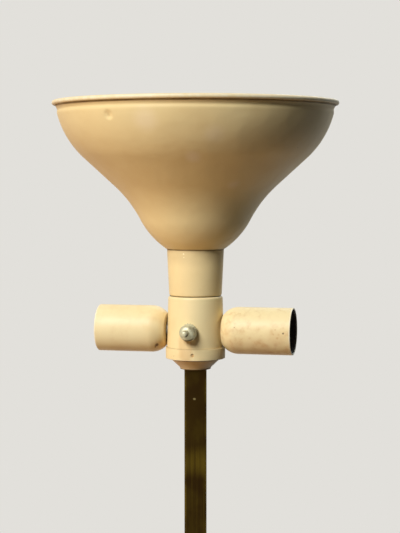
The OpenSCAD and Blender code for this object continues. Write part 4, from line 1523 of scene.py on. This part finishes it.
@dataclass
class SideLampholder(Lampholder):
    """A side lampholder: enamelled shell, fibre liner, insulator, screw shell and contact."""

    shell_r: float = 16.8 * MM
    flat_r: float = 10.5 * MM
    flat_edge_r: float = 0.5 * MM
    round_len: float = 11.5 * MM
    lip_r: float = 0.48 * MM
    sheet: float = 1 * MM
    hole_r: float = 5.25 * MM
    bore_fit: float = 0.1 * MM
    liner_t: float = 0.6 * MM
    liner_edge_r: float = 0.15 * MM
    base_r: float = 9.5 * MM
    base_len: float = 11 * MM
    base_edge_r: float = 0.5 * MM
    rim_r: float = 0.4 * MM
    shell_steps: int = 112

    def shell(self) -> None:
        """Makes the enamelled shell, round at the body and open at its mouth."""
        near, far = self.reach("shell")
        spread, end_r = self.round_end()
        inner_r = end_r - self.sheet
        inner_spread = math.degrees(math.asin((self.round_len - self.sheet) / inner_r))
        centre = (near + self.round_len, self.shell_r - end_r)
        outer = [(r, out) for out, r in arc(centre, end_r, 90 + spread, 90, 16)]
        inner = [(r, out) for out, r in arc(centre, inner_r, 90, 90 + inner_spread, 14)]
        outline = Outline().corner(self.hole_r, near).corner(*outer[0], self.flat_edge_r).run(outer[1:])
        outline.corner(self.shell_r, far, self.lip_r).corner(self.shell_r - self.sheet, far, self.lip_r)
        outline.run(inner).corner(self.hole_r, near + self.sheet)
        piece = Workpiece.turned(f"{self.node('shell')}_spun", outline, self.shell_steps)
        # The pale band at the mouth is rubbed wear and a painted highlight on the lit lip; the broad low marks are
        # partly painted shade.
        enamel = AgedEnamel(
            f"{self.node('shell')}_enamel", tone=srgb(246, 228, 178), axis=tuple(self.direction),
            dirt=0.25, mottle=self.mottle(), seams=(Seam(near, 0.7 * MM, 0.5),), worn_and_lit_edges=(Seam(far, 1.2 * MM),),
            specks=self.specks(), stains_and_painted_light=self.stains_and_painted_light(), speck_share=0.006,
        )
        piece.placed(self.origin, self.direction).dressed(enamel)
        bore = self.shell_r - self.sheet + self.bore_fit

        def faces_in(face: bpy.types.MeshPolygon) -> bool:
            """Tells the shell's dark inside from its enamelled outside.

            Args:
                face: A face of the shell.

            Returns:
                True for a face inside.
            """
            offset = face.center - self.origin
            out = offset.dot(self.direction)
            side = offset - self.direction * out
            facing_in = face.normal.dot(side) < -0.2 * side.length or face.normal.dot(self.direction) > 0.3
            return side.length < bore and near + self.sheet / 2 < out < far - self.lip_r and facing_in

        piece.also(DARK_SHELL_INSIDE, faces_in).hand_over(Frame.LAMP, "enamel", self.node("shell"))

    def round_end(self) -> tuple[float, float]:
        """How many degrees the shell's round end covers, and the end's radius."""
        spread = 2 * math.atan((self.shell_r - self.flat_r) / self.round_len)
        return math.degrees(spread), self.round_len / math.sin(spread)

    def mottle(self) -> float:
        """How mottled the shell's enamel is: the right one much more."""
        return 0.5 if self.where is Place.RIGHT else 0.15

    def mark(self, out: float, below: float, half: float, depth: float = 1.0, soft: float = 0.4) -> Mark:
        """A mark on the shell's front.

        Args:
            out: Its distance from the shell's inner end.
            below: Its turn round the shell from the front downwards, in degrees.
            half: Its half-width.
            depth: Its strength.
            soft: How soft its edge is.

        Returns:
            The mark.
        """
        front = self.direction.cross(Vector((0, 0, 1))).normalized()
        front = -front if front.y > 0 else front
        angle = math.radians(below)
        around = front * math.cos(angle) - Vector((0, 0, 1)) * math.sin(angle)
        end_r = self.round_end()[1]
        radius = self.shell_r - end_r + math.sqrt(end_r**2 - max(self.round_len - out, 0.0) ** 2)
        centre = self.origin + self.direction * (self.reach("shell")[0] + out) + around * radius
        return Mark(tuple(centre), (half, half, half), depth, soft)

    def specks(self) -> tuple[Mark, ...]:
        """The specks that show on the shell's front.

        Returns:
            The specks.
        """
        if self.where is Place.LEFT:
            return (self.mark(5.4 * MM, 44, 1.35 * MM, 1.0, 0.5), self.mark(6.8 * MM, 50, 0.6 * MM))
        return (self.mark(46.2 * MM, -1, 0.65 * MM, 0.9),)

    def stains_and_painted_light(self) -> tuple[Mark, ...]:
        """The tan marks on the shell's front: two faint ones on the left shell, more on the right one. The broad ones
        turned well below the front darken the shell's lower side, partly stain and partly painted shade.

        Returns:
            The stains.
        """
        if self.where is Place.LEFT:
            return (self.mark(4 * MM, 52, 5 * MM, 0.45, 0.6), self.mark(30 * MM, 58, 7 * MM, 0.15, 0.7))
        return (
            self.mark(41 * MM, 12, 6 * MM, 0.25, 0.6), self.mark(28 * MM, 45, 9 * MM, 0.3, 0.6),
            self.mark(12 * MM, 38, 6 * MM, 0.25, 0.6), self.mark(39.3 * MM, 2, 0.8 * MM, 0.5, 0.5),
            self.mark(42 * MM, 11, 0.9 * MM, 0.55, 0.5), self.mark(40.5 * MM, -9, 0.7 * MM, 0.45, 0.5),
        )

    def liner(self) -> None:
        """Makes the fibre sleeve between the shell and the insulator."""
        near, far = self.reach("liner")
        outer_r = self.shell_r - self.sheet - self.slip
        inner_r = outer_r - self.liner_t
        outline = Outline().corner(inner_r, near).corner(outer_r, near)
        outline.corner(outer_r, far, self.liner_edge_r).corner(inner_r, far, self.liner_edge_r)
        piece = Workpiece.turned(f"{self.node('liner')}_rolled", outline, self.steps)
        self.finish_piece(piece, LINER_FIBRE, "fibre", "liner")

    def insulator(self) -> None:
        """Makes the phenolic insulator that holds the screw shell."""
        near, far = self.reach("insulator")
        outer_r = self.shell_r - self.sheet - self.liner_t - 2 * self.slip
        step = near + self.base_len
        outline = Outline().corner(self.nipple_r, near).corner(self.base_r, near, self.rim_r)
        outline.corner(self.base_r, step, self.base_edge_r).corner(outer_r, step, self.base_edge_r)
        outline.corner(outer_r, far, self.rim_r)
        self.hollow(outline, self.rim_r)
        piece = Workpiece.turned(f"{self.node('insulator')}_moulded", outline, self.steps)
        self.finish_piece(piece, PHENOLIC, "phenolic", "insulator")

    def build(self) -> None:
        """Makes the lampholder."""
        self.shell()
        self.liner()
        self.insulator()
        self.brass()


@dataclass
class TopLampholder(Lampholder):
    """The lampholder that stands up through the bowl's floor."""

    rim_r: float = 0.5 * MM

    def __post_init__(self) -> None:
        """Takes the pole's axis from the floor up."""
        self.origin, self.direction = Vector((0, 0, 0)), Vector((0, 0, 1))

    def insulator(self) -> None:
        """Makes the insulator."""
        near, far = self.reach("insulator")
        outer_r = Frame.radius(self.node("insulator"))
        outline = Outline().corner(self.nipple_r, near).corner(outer_r, near, self.rim_r)
        outline.corner(outer_r, far, self.rim_r)
        self.hollow(outline, self.rim_r)
        piece = Workpiece.turned(f"{self.node('insulator')}_moulded", outline, self.steps)
        self.finish_piece(piece, PHENOLIC, "phenolic", "insulator")

    def build(self) -> None:
        """Makes the lampholder."""
        self.insulator()
        self.brass()


# ---- Bowl ----


@dataclass
class Bowl:
    """The spun bowl with its rolled rim, and the ring that clamps it."""

    mouth_r: float = 99.7 * MM
    bead_r: float = 1.65 * MM
    groove_drop: float = 4.7 * MM
    groove_half: float = 1.5 * MM
    groove_depth: float = 0.75 * MM
    sheet: float = 1 * MM
    rim_lean: float = 7.5
    shoulder_r: float = 64 * MM
    flank_lean: float = 47.5
    waist_r: float = 88 * MM
    waist_lean: float = 27.5
    foot_r: float = 56.5 * MM
    foot_lean: float = 56.5
    floor_hole_r: float = 16.15 * MM
    foot_edge_r: float = 0.7 * MM
    foot_inside_r: float = 1.2 * MM
    curl_end: float = -132.0
    curl_steps: int = 30
    notch_share: float = 1.25
    notch_fit: float = 0.05 * MM
    notch_edge_r: float = 0.1 * MM
    dent_turn: float = 36.3
    dent_drop: float = 11.4 * MM
    dent_depth: float = 0.9 * MM
    dent_r: float = 3.6 * MM
    dent_speck: float = 1.2 * MM
    ring_ribs: int = 30
    ring_rib_depth: float = 0.45 * MM
    ring_slip: float = 0.05 * MM
    ring_flange_h: float = 1.2 * MM
    ring_flange_w: float = 0.6 * MM
    ring_bevel: float = 0.4 * MM
    ring_edge_r: float = 0.2 * MM
    ring_flange_edge_r: float = 0.3 * MM
    step: float = 0.8 * MM
    steps: int = 224

    def fall(self, start: Vector, lean_from: float, lean_to: float, radius: float, inside: float) -> list[Vector]:
        """Points down a round stretch of the wall.

        Args:
            start: Where the stretch starts on the outside.
            lean_from: Lean of the wall from upright there, in degrees.
            lean_to: Lean at its end.
            radius: Its radius.
            inside: Distance from the outside towards the inside.

        Returns:
            The points, both ends among them.
        """
        bulge = math.copysign(radius, lean_to - lean_from)
        first = math.radians(lean_from)
        count = math.ceil(radius * abs(math.radians(lean_to - lean_from)) / self.step)
        found = []
        for i in range(count + 1):
            lean = math.radians(lean_from + (lean_to - lean_from) * i / count)
            move = Vector((math.cos(lean) - math.cos(first), math.sin(first) - math.sin(lean))) * bulge
            found.append(start + move + Vector((-math.cos(lean), math.sin(lean))) * inside)
        return found

    def wall(self, rim: Vector, foot_x: float, inside: float) -> list[Vector]:
        """Points down the whole wall, from the rim to the floor.

        Args:
            rim: The top of the wall's outside.
            foot_x: Radius of the outside at the floor.
            inside: Distance from the outside towards the inside.

        Returns:
            The points.
        """
        shoulder = self.fall(rim, self.rim_lean, self.flank_lean, self.shoulder_r, 0)
        flank = math.radians(self.flank_lean)
        waist = self.fall(Vector((0, 0)), self.flank_lean, self.waist_lean, self.waist_r, 0)
        foot = self.fall(Vector((0, 0)), self.waist_lean, self.foot_lean, self.foot_r, 0)
        straight = (shoulder[-1].x - foot_x + waist[-1].x + foot[-1].x) / math.sin(flank)
        waist_top = shoulder[-1] - Vector((math.sin(flank), math.cos(flank))) * straight
        foot_top = waist_top + waist[-1]
        return (
            self.fall(rim, self.rim_lean, self.flank_lean, self.shoulder_r, inside)
            + self.fall(waist_top, self.flank_lean, self.waist_lean, self.waist_r, inside)
            + self.fall(foot_top, self.waist_lean, self.foot_lean, self.foot_r, inside)[1:]
        )

    def grooved(self, wall: list[Vector], rim: Vector) -> list[Vector]:
        """Presses the shallow round groove under the bead into a line down the wall.

        Args:
            wall: The line's points.
            rim: The top of the wall's outside.

        Returns:
            The points, moved in where the groove is.
        """
        found = []
        for point in wall:
            away = (rim.y - point.y - self.groove_drop) / self.groove_half
            found.append(Vector((point.x - self.groove_depth * math.exp(-(away**2)), point.y)))
        return found

    def bowl(self) -> None:
        """Makes the bowl: the wall, the curled rim, the floor, and the small dent under the rim."""
        low, high = Frame.bottom("bowl_shade"), Frame.top("bowl_shade")
        rim = Vector((self.mouth_r, high - self.bead_r))
        foot_x = Frame.radius("neck_cup")
        outer, inner = (self.grooved(self.wall(rim, foot_x, inside), rim) for inside in (0, self.sheet))
        under_bead = rim.y - self.notch_share * self.bead_r
        below_bead = [point for point in outer[:-1] if point.y < rim.y - 1.4 * self.bead_r]
        above_floor = [point for point in inner if point.y > low + 1.6 * self.sheet]
        curl_centre = (rim.x - self.sheet + self.bead_r, rim.y)
        outline = Outline().corner(self.floor_hole_r, low + self.sheet).corner(self.floor_hole_r, low)
        outline.corner(foot_x, low, self.foot_edge_r).run([tuple(point) for point in reversed(below_bead)])
        outline.corner(rim.x - self.notch_fit, under_bead, self.notch_edge_r)
        outline.run(arc(curl_centre, self.bead_r, self.curl_end, 180, self.curl_steps))
        outline.run([tuple(point) for point in above_floor])
        outline.corner(foot_x - self.sheet, low + self.sheet, self.foot_inside_r)
        piece = Workpiece.turned("bowl_shade_spun", outline, self.steps)
        self.dent(piece, rim)
        # Painted light on the bowl: the dark seam under the bead is painted shadow, the pale band on the bead's top a
        # painted highlight, the pale spots (this stain tone is pale) painted highlights, and the dark spot in the dent
        # painted shade.
        outside = AgedEnamel(
            "bowl_enamel", tone=srgb(243, 220, 163), aged=srgb(230, 199, 138), stain=srgb(255, 236, 204),
            seams=(Seam(low, 0.8 * MM, 0.7), Seam(under_bead, 0.9 * MM, 0.75)),
            worn_and_lit_edges=(Seam(high - self.bead_r, 1.9 * MM, 0.75),), stains_and_painted_light=self.painted_highlights(outer, low),
            specks=(self.spot(outer, rim.y - self.dent_drop, self.dent_turn, self.dent_speck, 0.3),),
            dirt=0.15, speck_share=0.012, spun=0.35, waves=12.0,
        )
        inside = AgedEnamel(
            "reflector_enamel", tone=srgb(240, 226, 190), aged=srgb(214, 186, 130), grime_and_shade=srgb(150, 112, 64),
            seams=(Seam(low, 26 * MM, 0.5),), dirt=0.3, speck_share=0.05, spun=0.35,
        )
        piece.dressed(outside, 40)

        def faces_in(face: bpy.types.MeshPolygon) -> bool:
            """Tells the bowl's inside from its outside."""
            outward = face.normal.xy.dot(face.center.xy)
            return face.center.z < rim.y and (outward < 0 or face.normal.z > 0.5) and face.center.z > low

        piece.also(inside, faces_in).hand_over(Frame.LAMP, "enamel", "bowl_shade")

    @staticmethod
    def spot(wall: list[Vector], height: float, turn: float, half: float, depth: float) -> Mark:
        """A soft mark on the outside of the wall.

        Args:
            wall: The points of the wall's outside.
            height: The mark's height.
            turn: Its turn from the front to the viewer's left, in degrees.
            half: Its half-width.
            depth: Its strength.

        Returns:
            The mark.
        """
        radius = min(wall, key=lambda point: abs(point.y - height)).x
        angle = math.radians(-90 - turn)
        return Mark((radius * math.cos(angle), radius * math.sin(angle), height), (half, half, half), depth, 0.7)

    def painted_highlights(self, wall: list[Vector], low: float) -> tuple[Mark, ...]:
        """The faint pale spots on the bowl's front, painted highlights, each with its height, turn, half-width and
        strength.

        Args:
            wall: The points of the wall's outside.
            low: Height of the bowl's floor.

        Returns:
            The smudges.
        """
        places = (
            (64.7 * MM, 1.0, 4.5 * MM, 0.55), (48 * MM, -26, 4 * MM, 0.5),
            (89 * MM, 20, 7 * MM, 0.35), (79 * MM, -8, 6 * MM, 0.25),
        )
        return tuple(self.spot(wall, low + up, turn, half, depth) for up, turn, half, depth in places)

    def dent(self, piece: Workpiece, rim: Vector) -> None:
        """Knocks a small dent into the wall under the rim, at the front on the left.

        Args:
            piece: The bowl.
            rim: The top of the wall's outside.
        """
        angle = math.radians(-90 - self.dent_turn)
        out = Vector((math.cos(angle), math.sin(angle), 0))
        spot = out * (rim.x - 2 * MM) + Vector((0, 0, rim.y - self.dent_drop))
        piece.edit(lambda place: (place - spot).length < 2 * self.dent_r)
        bpy.ops.mesh.subdivide(number_cuts=3)
        bpy.ops.object.mode_set(mode="OBJECT")
        nearest = min((vertex.co.copy() for vertex in piece.obj.data.vertices), key=lambda co: (co - spot).length)
        piece.edit(lambda place: (place - nearest).length < 0.9 * self.sheet)
        push = out * -self.dent_depth
        bpy.ops.transform.translate(
            value=push, use_proportional_edit=True, proportional_edit_falloff="SMOOTH", proportional_size=self.dent_r,
        )
        bpy.ops.object.mode_set(mode="OBJECT")

    def ring(self) -> None:
        """Makes the ribbed ring that clamps the bowl on the lampholder."""
        low, high, outer_r = Frame.span("clamp_ring")
        hole_r = Frame.radius("top_insulator") + self.ring_slip
        flange = low + self.ring_flange_h
        grip_r = outer_r - self.ring_flange_w
        outline = Outline().corner(hole_r, low).corner(outer_r, low, self.ring_edge_r)
        outline.corner(outer_r, flange, self.ring_flange_edge_r).corner(grip_r, flange + self.ring_edge_r)
        outline.corner(grip_r, high - self.ring_flange_edge_r).corner(grip_r - self.ring_bevel, high)
        outline.corner(hole_r, high, self.ring_edge_r)
        steps = self.ring_ribs * 6
        piece = Workpiece.turned("clamp_ring_ribbed", outline, steps)
        piece.fluted(self.ring_ribs, self.ring_rib_depth, grip_r, flange + 0.1 * MM, high - 0.2 * MM, steps)
        piece.dressed(FITTING_BRASS).hand_over(Frame.LAMP, "brass_fittings", "clamp_ring")

    def build(self) -> None:
        """Makes the bowl and its ring."""
        self.bowl()
        self.ring()


# ---- Switch ----


@dataclass
class Switch:
    """The knob that turns and the ring nut behind it."""

    flutes: int = 20
    flute_depth: float = 0.4 * MM
    knob_r: float = 6 * MM
    skirt_h: float = 2.6 * MM
    dome_h: float = 5.2 * MM
    tip_r: float = 2.4 * MM
    recess_r: float = 5.15 * MM
    recess_h: float = 1.2 * MM
    shaft_hole_r: float = 1.65 * MM
    bushing_r: float = 4.8 * MM
    nut_r: float = 6.3 * MM
    edge_r: float = 0.25 * MM
    fine_edge_r: float = 0.1 * MM
    tip_edge_r: float = 0.4 * MM
    nut_bevel: float = 0.3 * MM
    dome_top_share: float = 0.86
    dome_steps: int = 12
    steps_per_flute: int = 8

    def __post_init__(self) -> None:
        """Reads the switch's axis from the frame."""
        self.origin, self.direction = Frame.switch_axis()

    def knob(self) -> None:
        """Makes the knob: a fluted skirt, a dome and a rounded tip."""
        near, far = Frame.reach("switch_knob", self.origin, self.direction)
        dome_foot, dome_top = near + self.skirt_h, near + self.skirt_h + self.dome_h
        shoulder = self.knob_r - self.flute_depth
        tip_round = self.tip_r * 0.75
        dome_top_r = self.tip_r * self.dome_top_share
        dome = []
        for i in range(self.dome_steps + 1):
            angle = math.radians(90 * i / self.dome_steps)
            out = dome_top_r + (shoulder - dome_top_r) * math.cos(angle)
            dome.append((out, dome_foot + (self.dome_h - self.tip_r / 2) * math.sin(angle)))
        outline = Outline().corner(self.shaft_hole_r, near + self.recess_h).corner(self.recess_r, near + self.recess_h)
        outline.corner(self.recess_r, near, self.fine_edge_r).corner(self.knob_r, near, self.edge_r)
        outline.corner(self.knob_r, dome_foot, self.edge_r).run(dome)
        outline.corner(self.tip_r, far - 0.45 * (far - dome_top), self.tip_edge_r)
        outline.run(arc((self.tip_r - tip_round, far - tip_round), tip_round, 0, 90, 8)).corner(0, far)
        outline.corner(0, dome_top).corner(self.shaft_hole_r, dome_top)
        steps = self.flutes * self.steps_per_flute
        piece = Workpiece.turned("switch_knob_fluted", outline, steps)
        piece.fluted(self.flutes, self.flute_depth, self.knob_r, near, dome_foot, steps)
        piece.placed(self.origin, self.direction).dressed(self.knob_finish(near, far))
        piece.hand_over(Frame.SWITCH, "nickel", "switch_knob")

    def knob_finish(self, near: float, far: float) -> Finish:
        """The knob's nickel, darkened beside the tip and round the lower edge by dirt and painted shade, with a spot
        of painted shade at the upper right.

        Args:
            near: Where the knob starts along its axis.
            far: Where it ends.

        Returns:
            The finish.
        """
        right = Vector((0, 0, 1)).cross(self.direction)

        def grime_and_shade(reach: float, aside: float, above: float, size: tuple[float, float, float], depth: float) -> Mark:
            """A soft mark beside the knob's axis. All but its reach and depth is in millimetres."""
            centre = self.origin + self.direction * reach + right * aside * MM + Vector((0, 0, above * MM))
            return Mark(tuple(centre), tuple(half * MM for half in size), depth, 0.5)

        # Painted shade, partly dirt: the tip's shaded side, the knob's lower edge, and a spot at the upper right.
        marks = (
            grime_and_shade(far - 1.6 * MM, 2.1, -1.4, (1.5, 1.9, 1.6), 0.9),
            grime_and_shade(near + self.skirt_h, 1.6, -5.4, (4.8, 2.4, 1.5), 0.9),
            grime_and_shade(near + self.skirt_h, 4.9, 2.2, (1.6, 2.0, 2.4), 0.45),
        )
        return replace(WORN_NICKEL, name="knob_nickel", grime_and_shade_marks=marks)

    def nut(self) -> None:
        """Makes the knurled ring nut on the body's front."""
        near, far = Frame.reach("switch_nut", self.origin, self.direction)
        edge, fine = self.nut_bevel, self.fine_edge_r
        outline = Outline().corner(self.bushing_r, near).corner(self.nut_r, near).corner(self.nut_r, far - edge)
        outline.corner(self.nut_r - edge, far, fine).corner(self.bushing_r + edge, far, fine)
        outline.corner(self.bushing_r, far - edge)
        steps = self.flutes * self.steps_per_flute
        piece = Workpiece.turned("switch_nut_knurled", outline, steps)
        piece.fluted(self.flutes, self.flute_depth, self.nut_r, near - edge, far, steps)
        piece.placed(self.origin, self.direction).dressed(WORN_NICKEL)
        piece.hand_over(Frame.LAMP, "nickel", "switch_nut")

    def build(self) -> None:
        """Makes the switch's visible pieces."""
        self.nut()
        self.knob()


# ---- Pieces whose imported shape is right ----


class Carried:
    """CAD nodes that are shown as they are, in a better finish."""

    FINISHES: dict[str, Finish] = {
        "iron": IRON,
        "steel": ZINC_STEEL,
        "brass_fittings": FITTING_BRASS,
        "phenolic": PHENOLIC,
        "lead_cloth": WOVEN_LEAD,
    }

    def build(self) -> None:
        """Gives each node that is still shown the finish of its slot."""
        for name, node in sorted(frame["nodes"].items()):
            if node.hide_render:
                continue
            for place in node.material_slots:
                slot = place.material.name.split(".")[0]
                place.material = self.FINISHES[slot].material()
                LOG.info("%s keeps its packed shape, in %s", name, place.material.name)


# ---- Studio ----


@dataclass(frozen=True)
class Lamp:
    """A soft distant light.

    Its level is what it adds to a white surface that faces it, where 1 is white. It stands turned from the front
    towards the viewer's right, above or below the horizon, and is some degrees wide.
    """

    name: str
    colour: tuple[float, float, float]
    level: float
    turn: float
    rise: float
    spread: float


@dataclass
class Studio:
    """Floor, lights and the camera where the photograph was taken from."""

    photo_w: int = 400
    photo_h: int = 533
    axis_px: float = 195.5
    neck_px: float = 249.0
    eye_px: float = 178.0
    metres_per_px: float = 0.7157 * MM
    distance: float = 1.05
    sensor: float = 36.0
    floor_size: float = 6.4
    backdrop: Colour = srgb(226, 224, 219)
    floor_tone: Colour = srgb(238, 236, 232)
    ambient: float = 0.02
    lamps: tuple[Lamp, ...] = (
        Lamp("key", (0.98, 0.99, 1.0), 1.14, -34, 36, 24),
        Lamp("bounce", (1.0, 0.6, 0.28), 0.42, -84, -40, 60),
        Lamp("back", (0.84, 0.95, 1.0), 0.38, 152, 38, 44),
    )

    def floor(self) -> None:
        """Lays a plain pale floor, which shows the shadow and lets the warm lamp under it through."""
        deselect()
        bpy.ops.mesh.primitive_plane_add(size=self.floor_size, location=(0, 0, 0))
        floor = bpy.context.object
        floor.name = "studio_floor"
        floor.visible_shadow = False
        floor.visible_diffuse = False
        graph = ShaderGraph("floor_paint")
        colour = graph.mix(graph.noise(3, 3.0) * 0.12, self.floor_tone, self.backdrop)
        graph.paint(colour, 0.85, graph.noise(60, 2.0), 0.02 * MM)
        graph.fix(Specular_IOR_Level=0.1)
        floor.data.materials.append(graph.material)

    def world(self) -> None:
        """Lights the scene softly from all round, before a pale background."""
        world = bpy.data.worlds.new("studio")
        bpy.context.scene.world = world
        world.use_nodes = True
        graph = NodeGraph(world.node_tree)
        path = graph.node("ShaderNodeLightPath", {}, {}).outputs
        seen = Wire(graph, path["Is Camera Ray"])
        for other in ("Is Glossy Ray", "Is Transmission Ray"):
            seen = seen.most(Wire(graph, path[other]))
        white = srgb(255, 255, 255)
        glow = graph.node("ShaderNodeBackground", {}, {"Color": white, "Strength": self.ambient}).outputs[0]
        shown = graph.node("ShaderNodeBackground", {}, {"Color": self.backdrop}).outputs[0]
        mixed = graph.node("ShaderNodeMixShader", {}, {0: seen, 1: glow, 2: shown}).outputs[0]
        graph.node("ShaderNodeOutputWorld", {}, {"Surface": mixed})

    def light(self, lamp: Lamp) -> None:
        """Adds a soft distant light.

        Args:
            lamp: The light.
        """
        a, e = math.radians(lamp.turn), math.radians(lamp.rise)
        towards = Vector((math.sin(a) * math.cos(e), -math.cos(a) * math.cos(e), math.sin(e)))
        data = bpy.data.lights.new(lamp.name, "SUN")
        data.color = lamp.colour
        data.energy = lamp.level * math.pi
        data.angle = math.radians(lamp.spread)
        obj = bpy.data.objects.new(lamp.name, data)
        obj.location = towards * self.floor_size
        obj.rotation_euler = towards.to_track_quat("Z", "Y").to_euler()
        bpy.context.scene.collection.objects.link(obj)

    def camera(self) -> None:
        """Places the camera so that the photograph's lines fall where they were measured."""
        data = bpy.data.cameras.new("camera")
        focal_px = self.distance / self.metres_per_px
        data.sensor_width = self.sensor
        data.lens = focal_px * self.sensor / self.photo_h
        eye = Frame.bottom("bowl_shade") + (self.neck_px - self.eye_px) * self.metres_per_px
        tilt = math.atan((self.photo_h / 2 - self.eye_px) / focal_px)
        aside = (self.photo_w / 2 - self.axis_px) * self.metres_per_px
        camera = bpy.data.objects.new("camera", data)
        camera.location = (aside, -self.distance, eye)
        camera.rotation_euler = (math.pi / 2 - tilt, 0, 0)
        data.clip_start, data.clip_end = 0.05, 100.0
        bpy.context.scene.collection.objects.link(camera)
        bpy.context.scene.camera = camera

    def build(self) -> None:
        """Sets the studio up."""
        self.camera()
        self.floor()
        self.world()
        for lamp in self.lamps:
            self.light(lamp)
        bpy.context.scene.view_settings.view_transform = "Standard"


def main() -> None:
    """Builds the studio and every piece, in order from the floor up."""
    Studio().build()
    Base().build()
    Pole().build()
    Cluster().build()
    SideLampholder(Place.LEFT).build()
    SideLampholder(Place.RIGHT).build()
    TopLampholder(Place.TOP).build()
    Bowl().build()
    Switch().build()
    Carried().build()
    deselect()


if __name__ == "__main__":
    main()
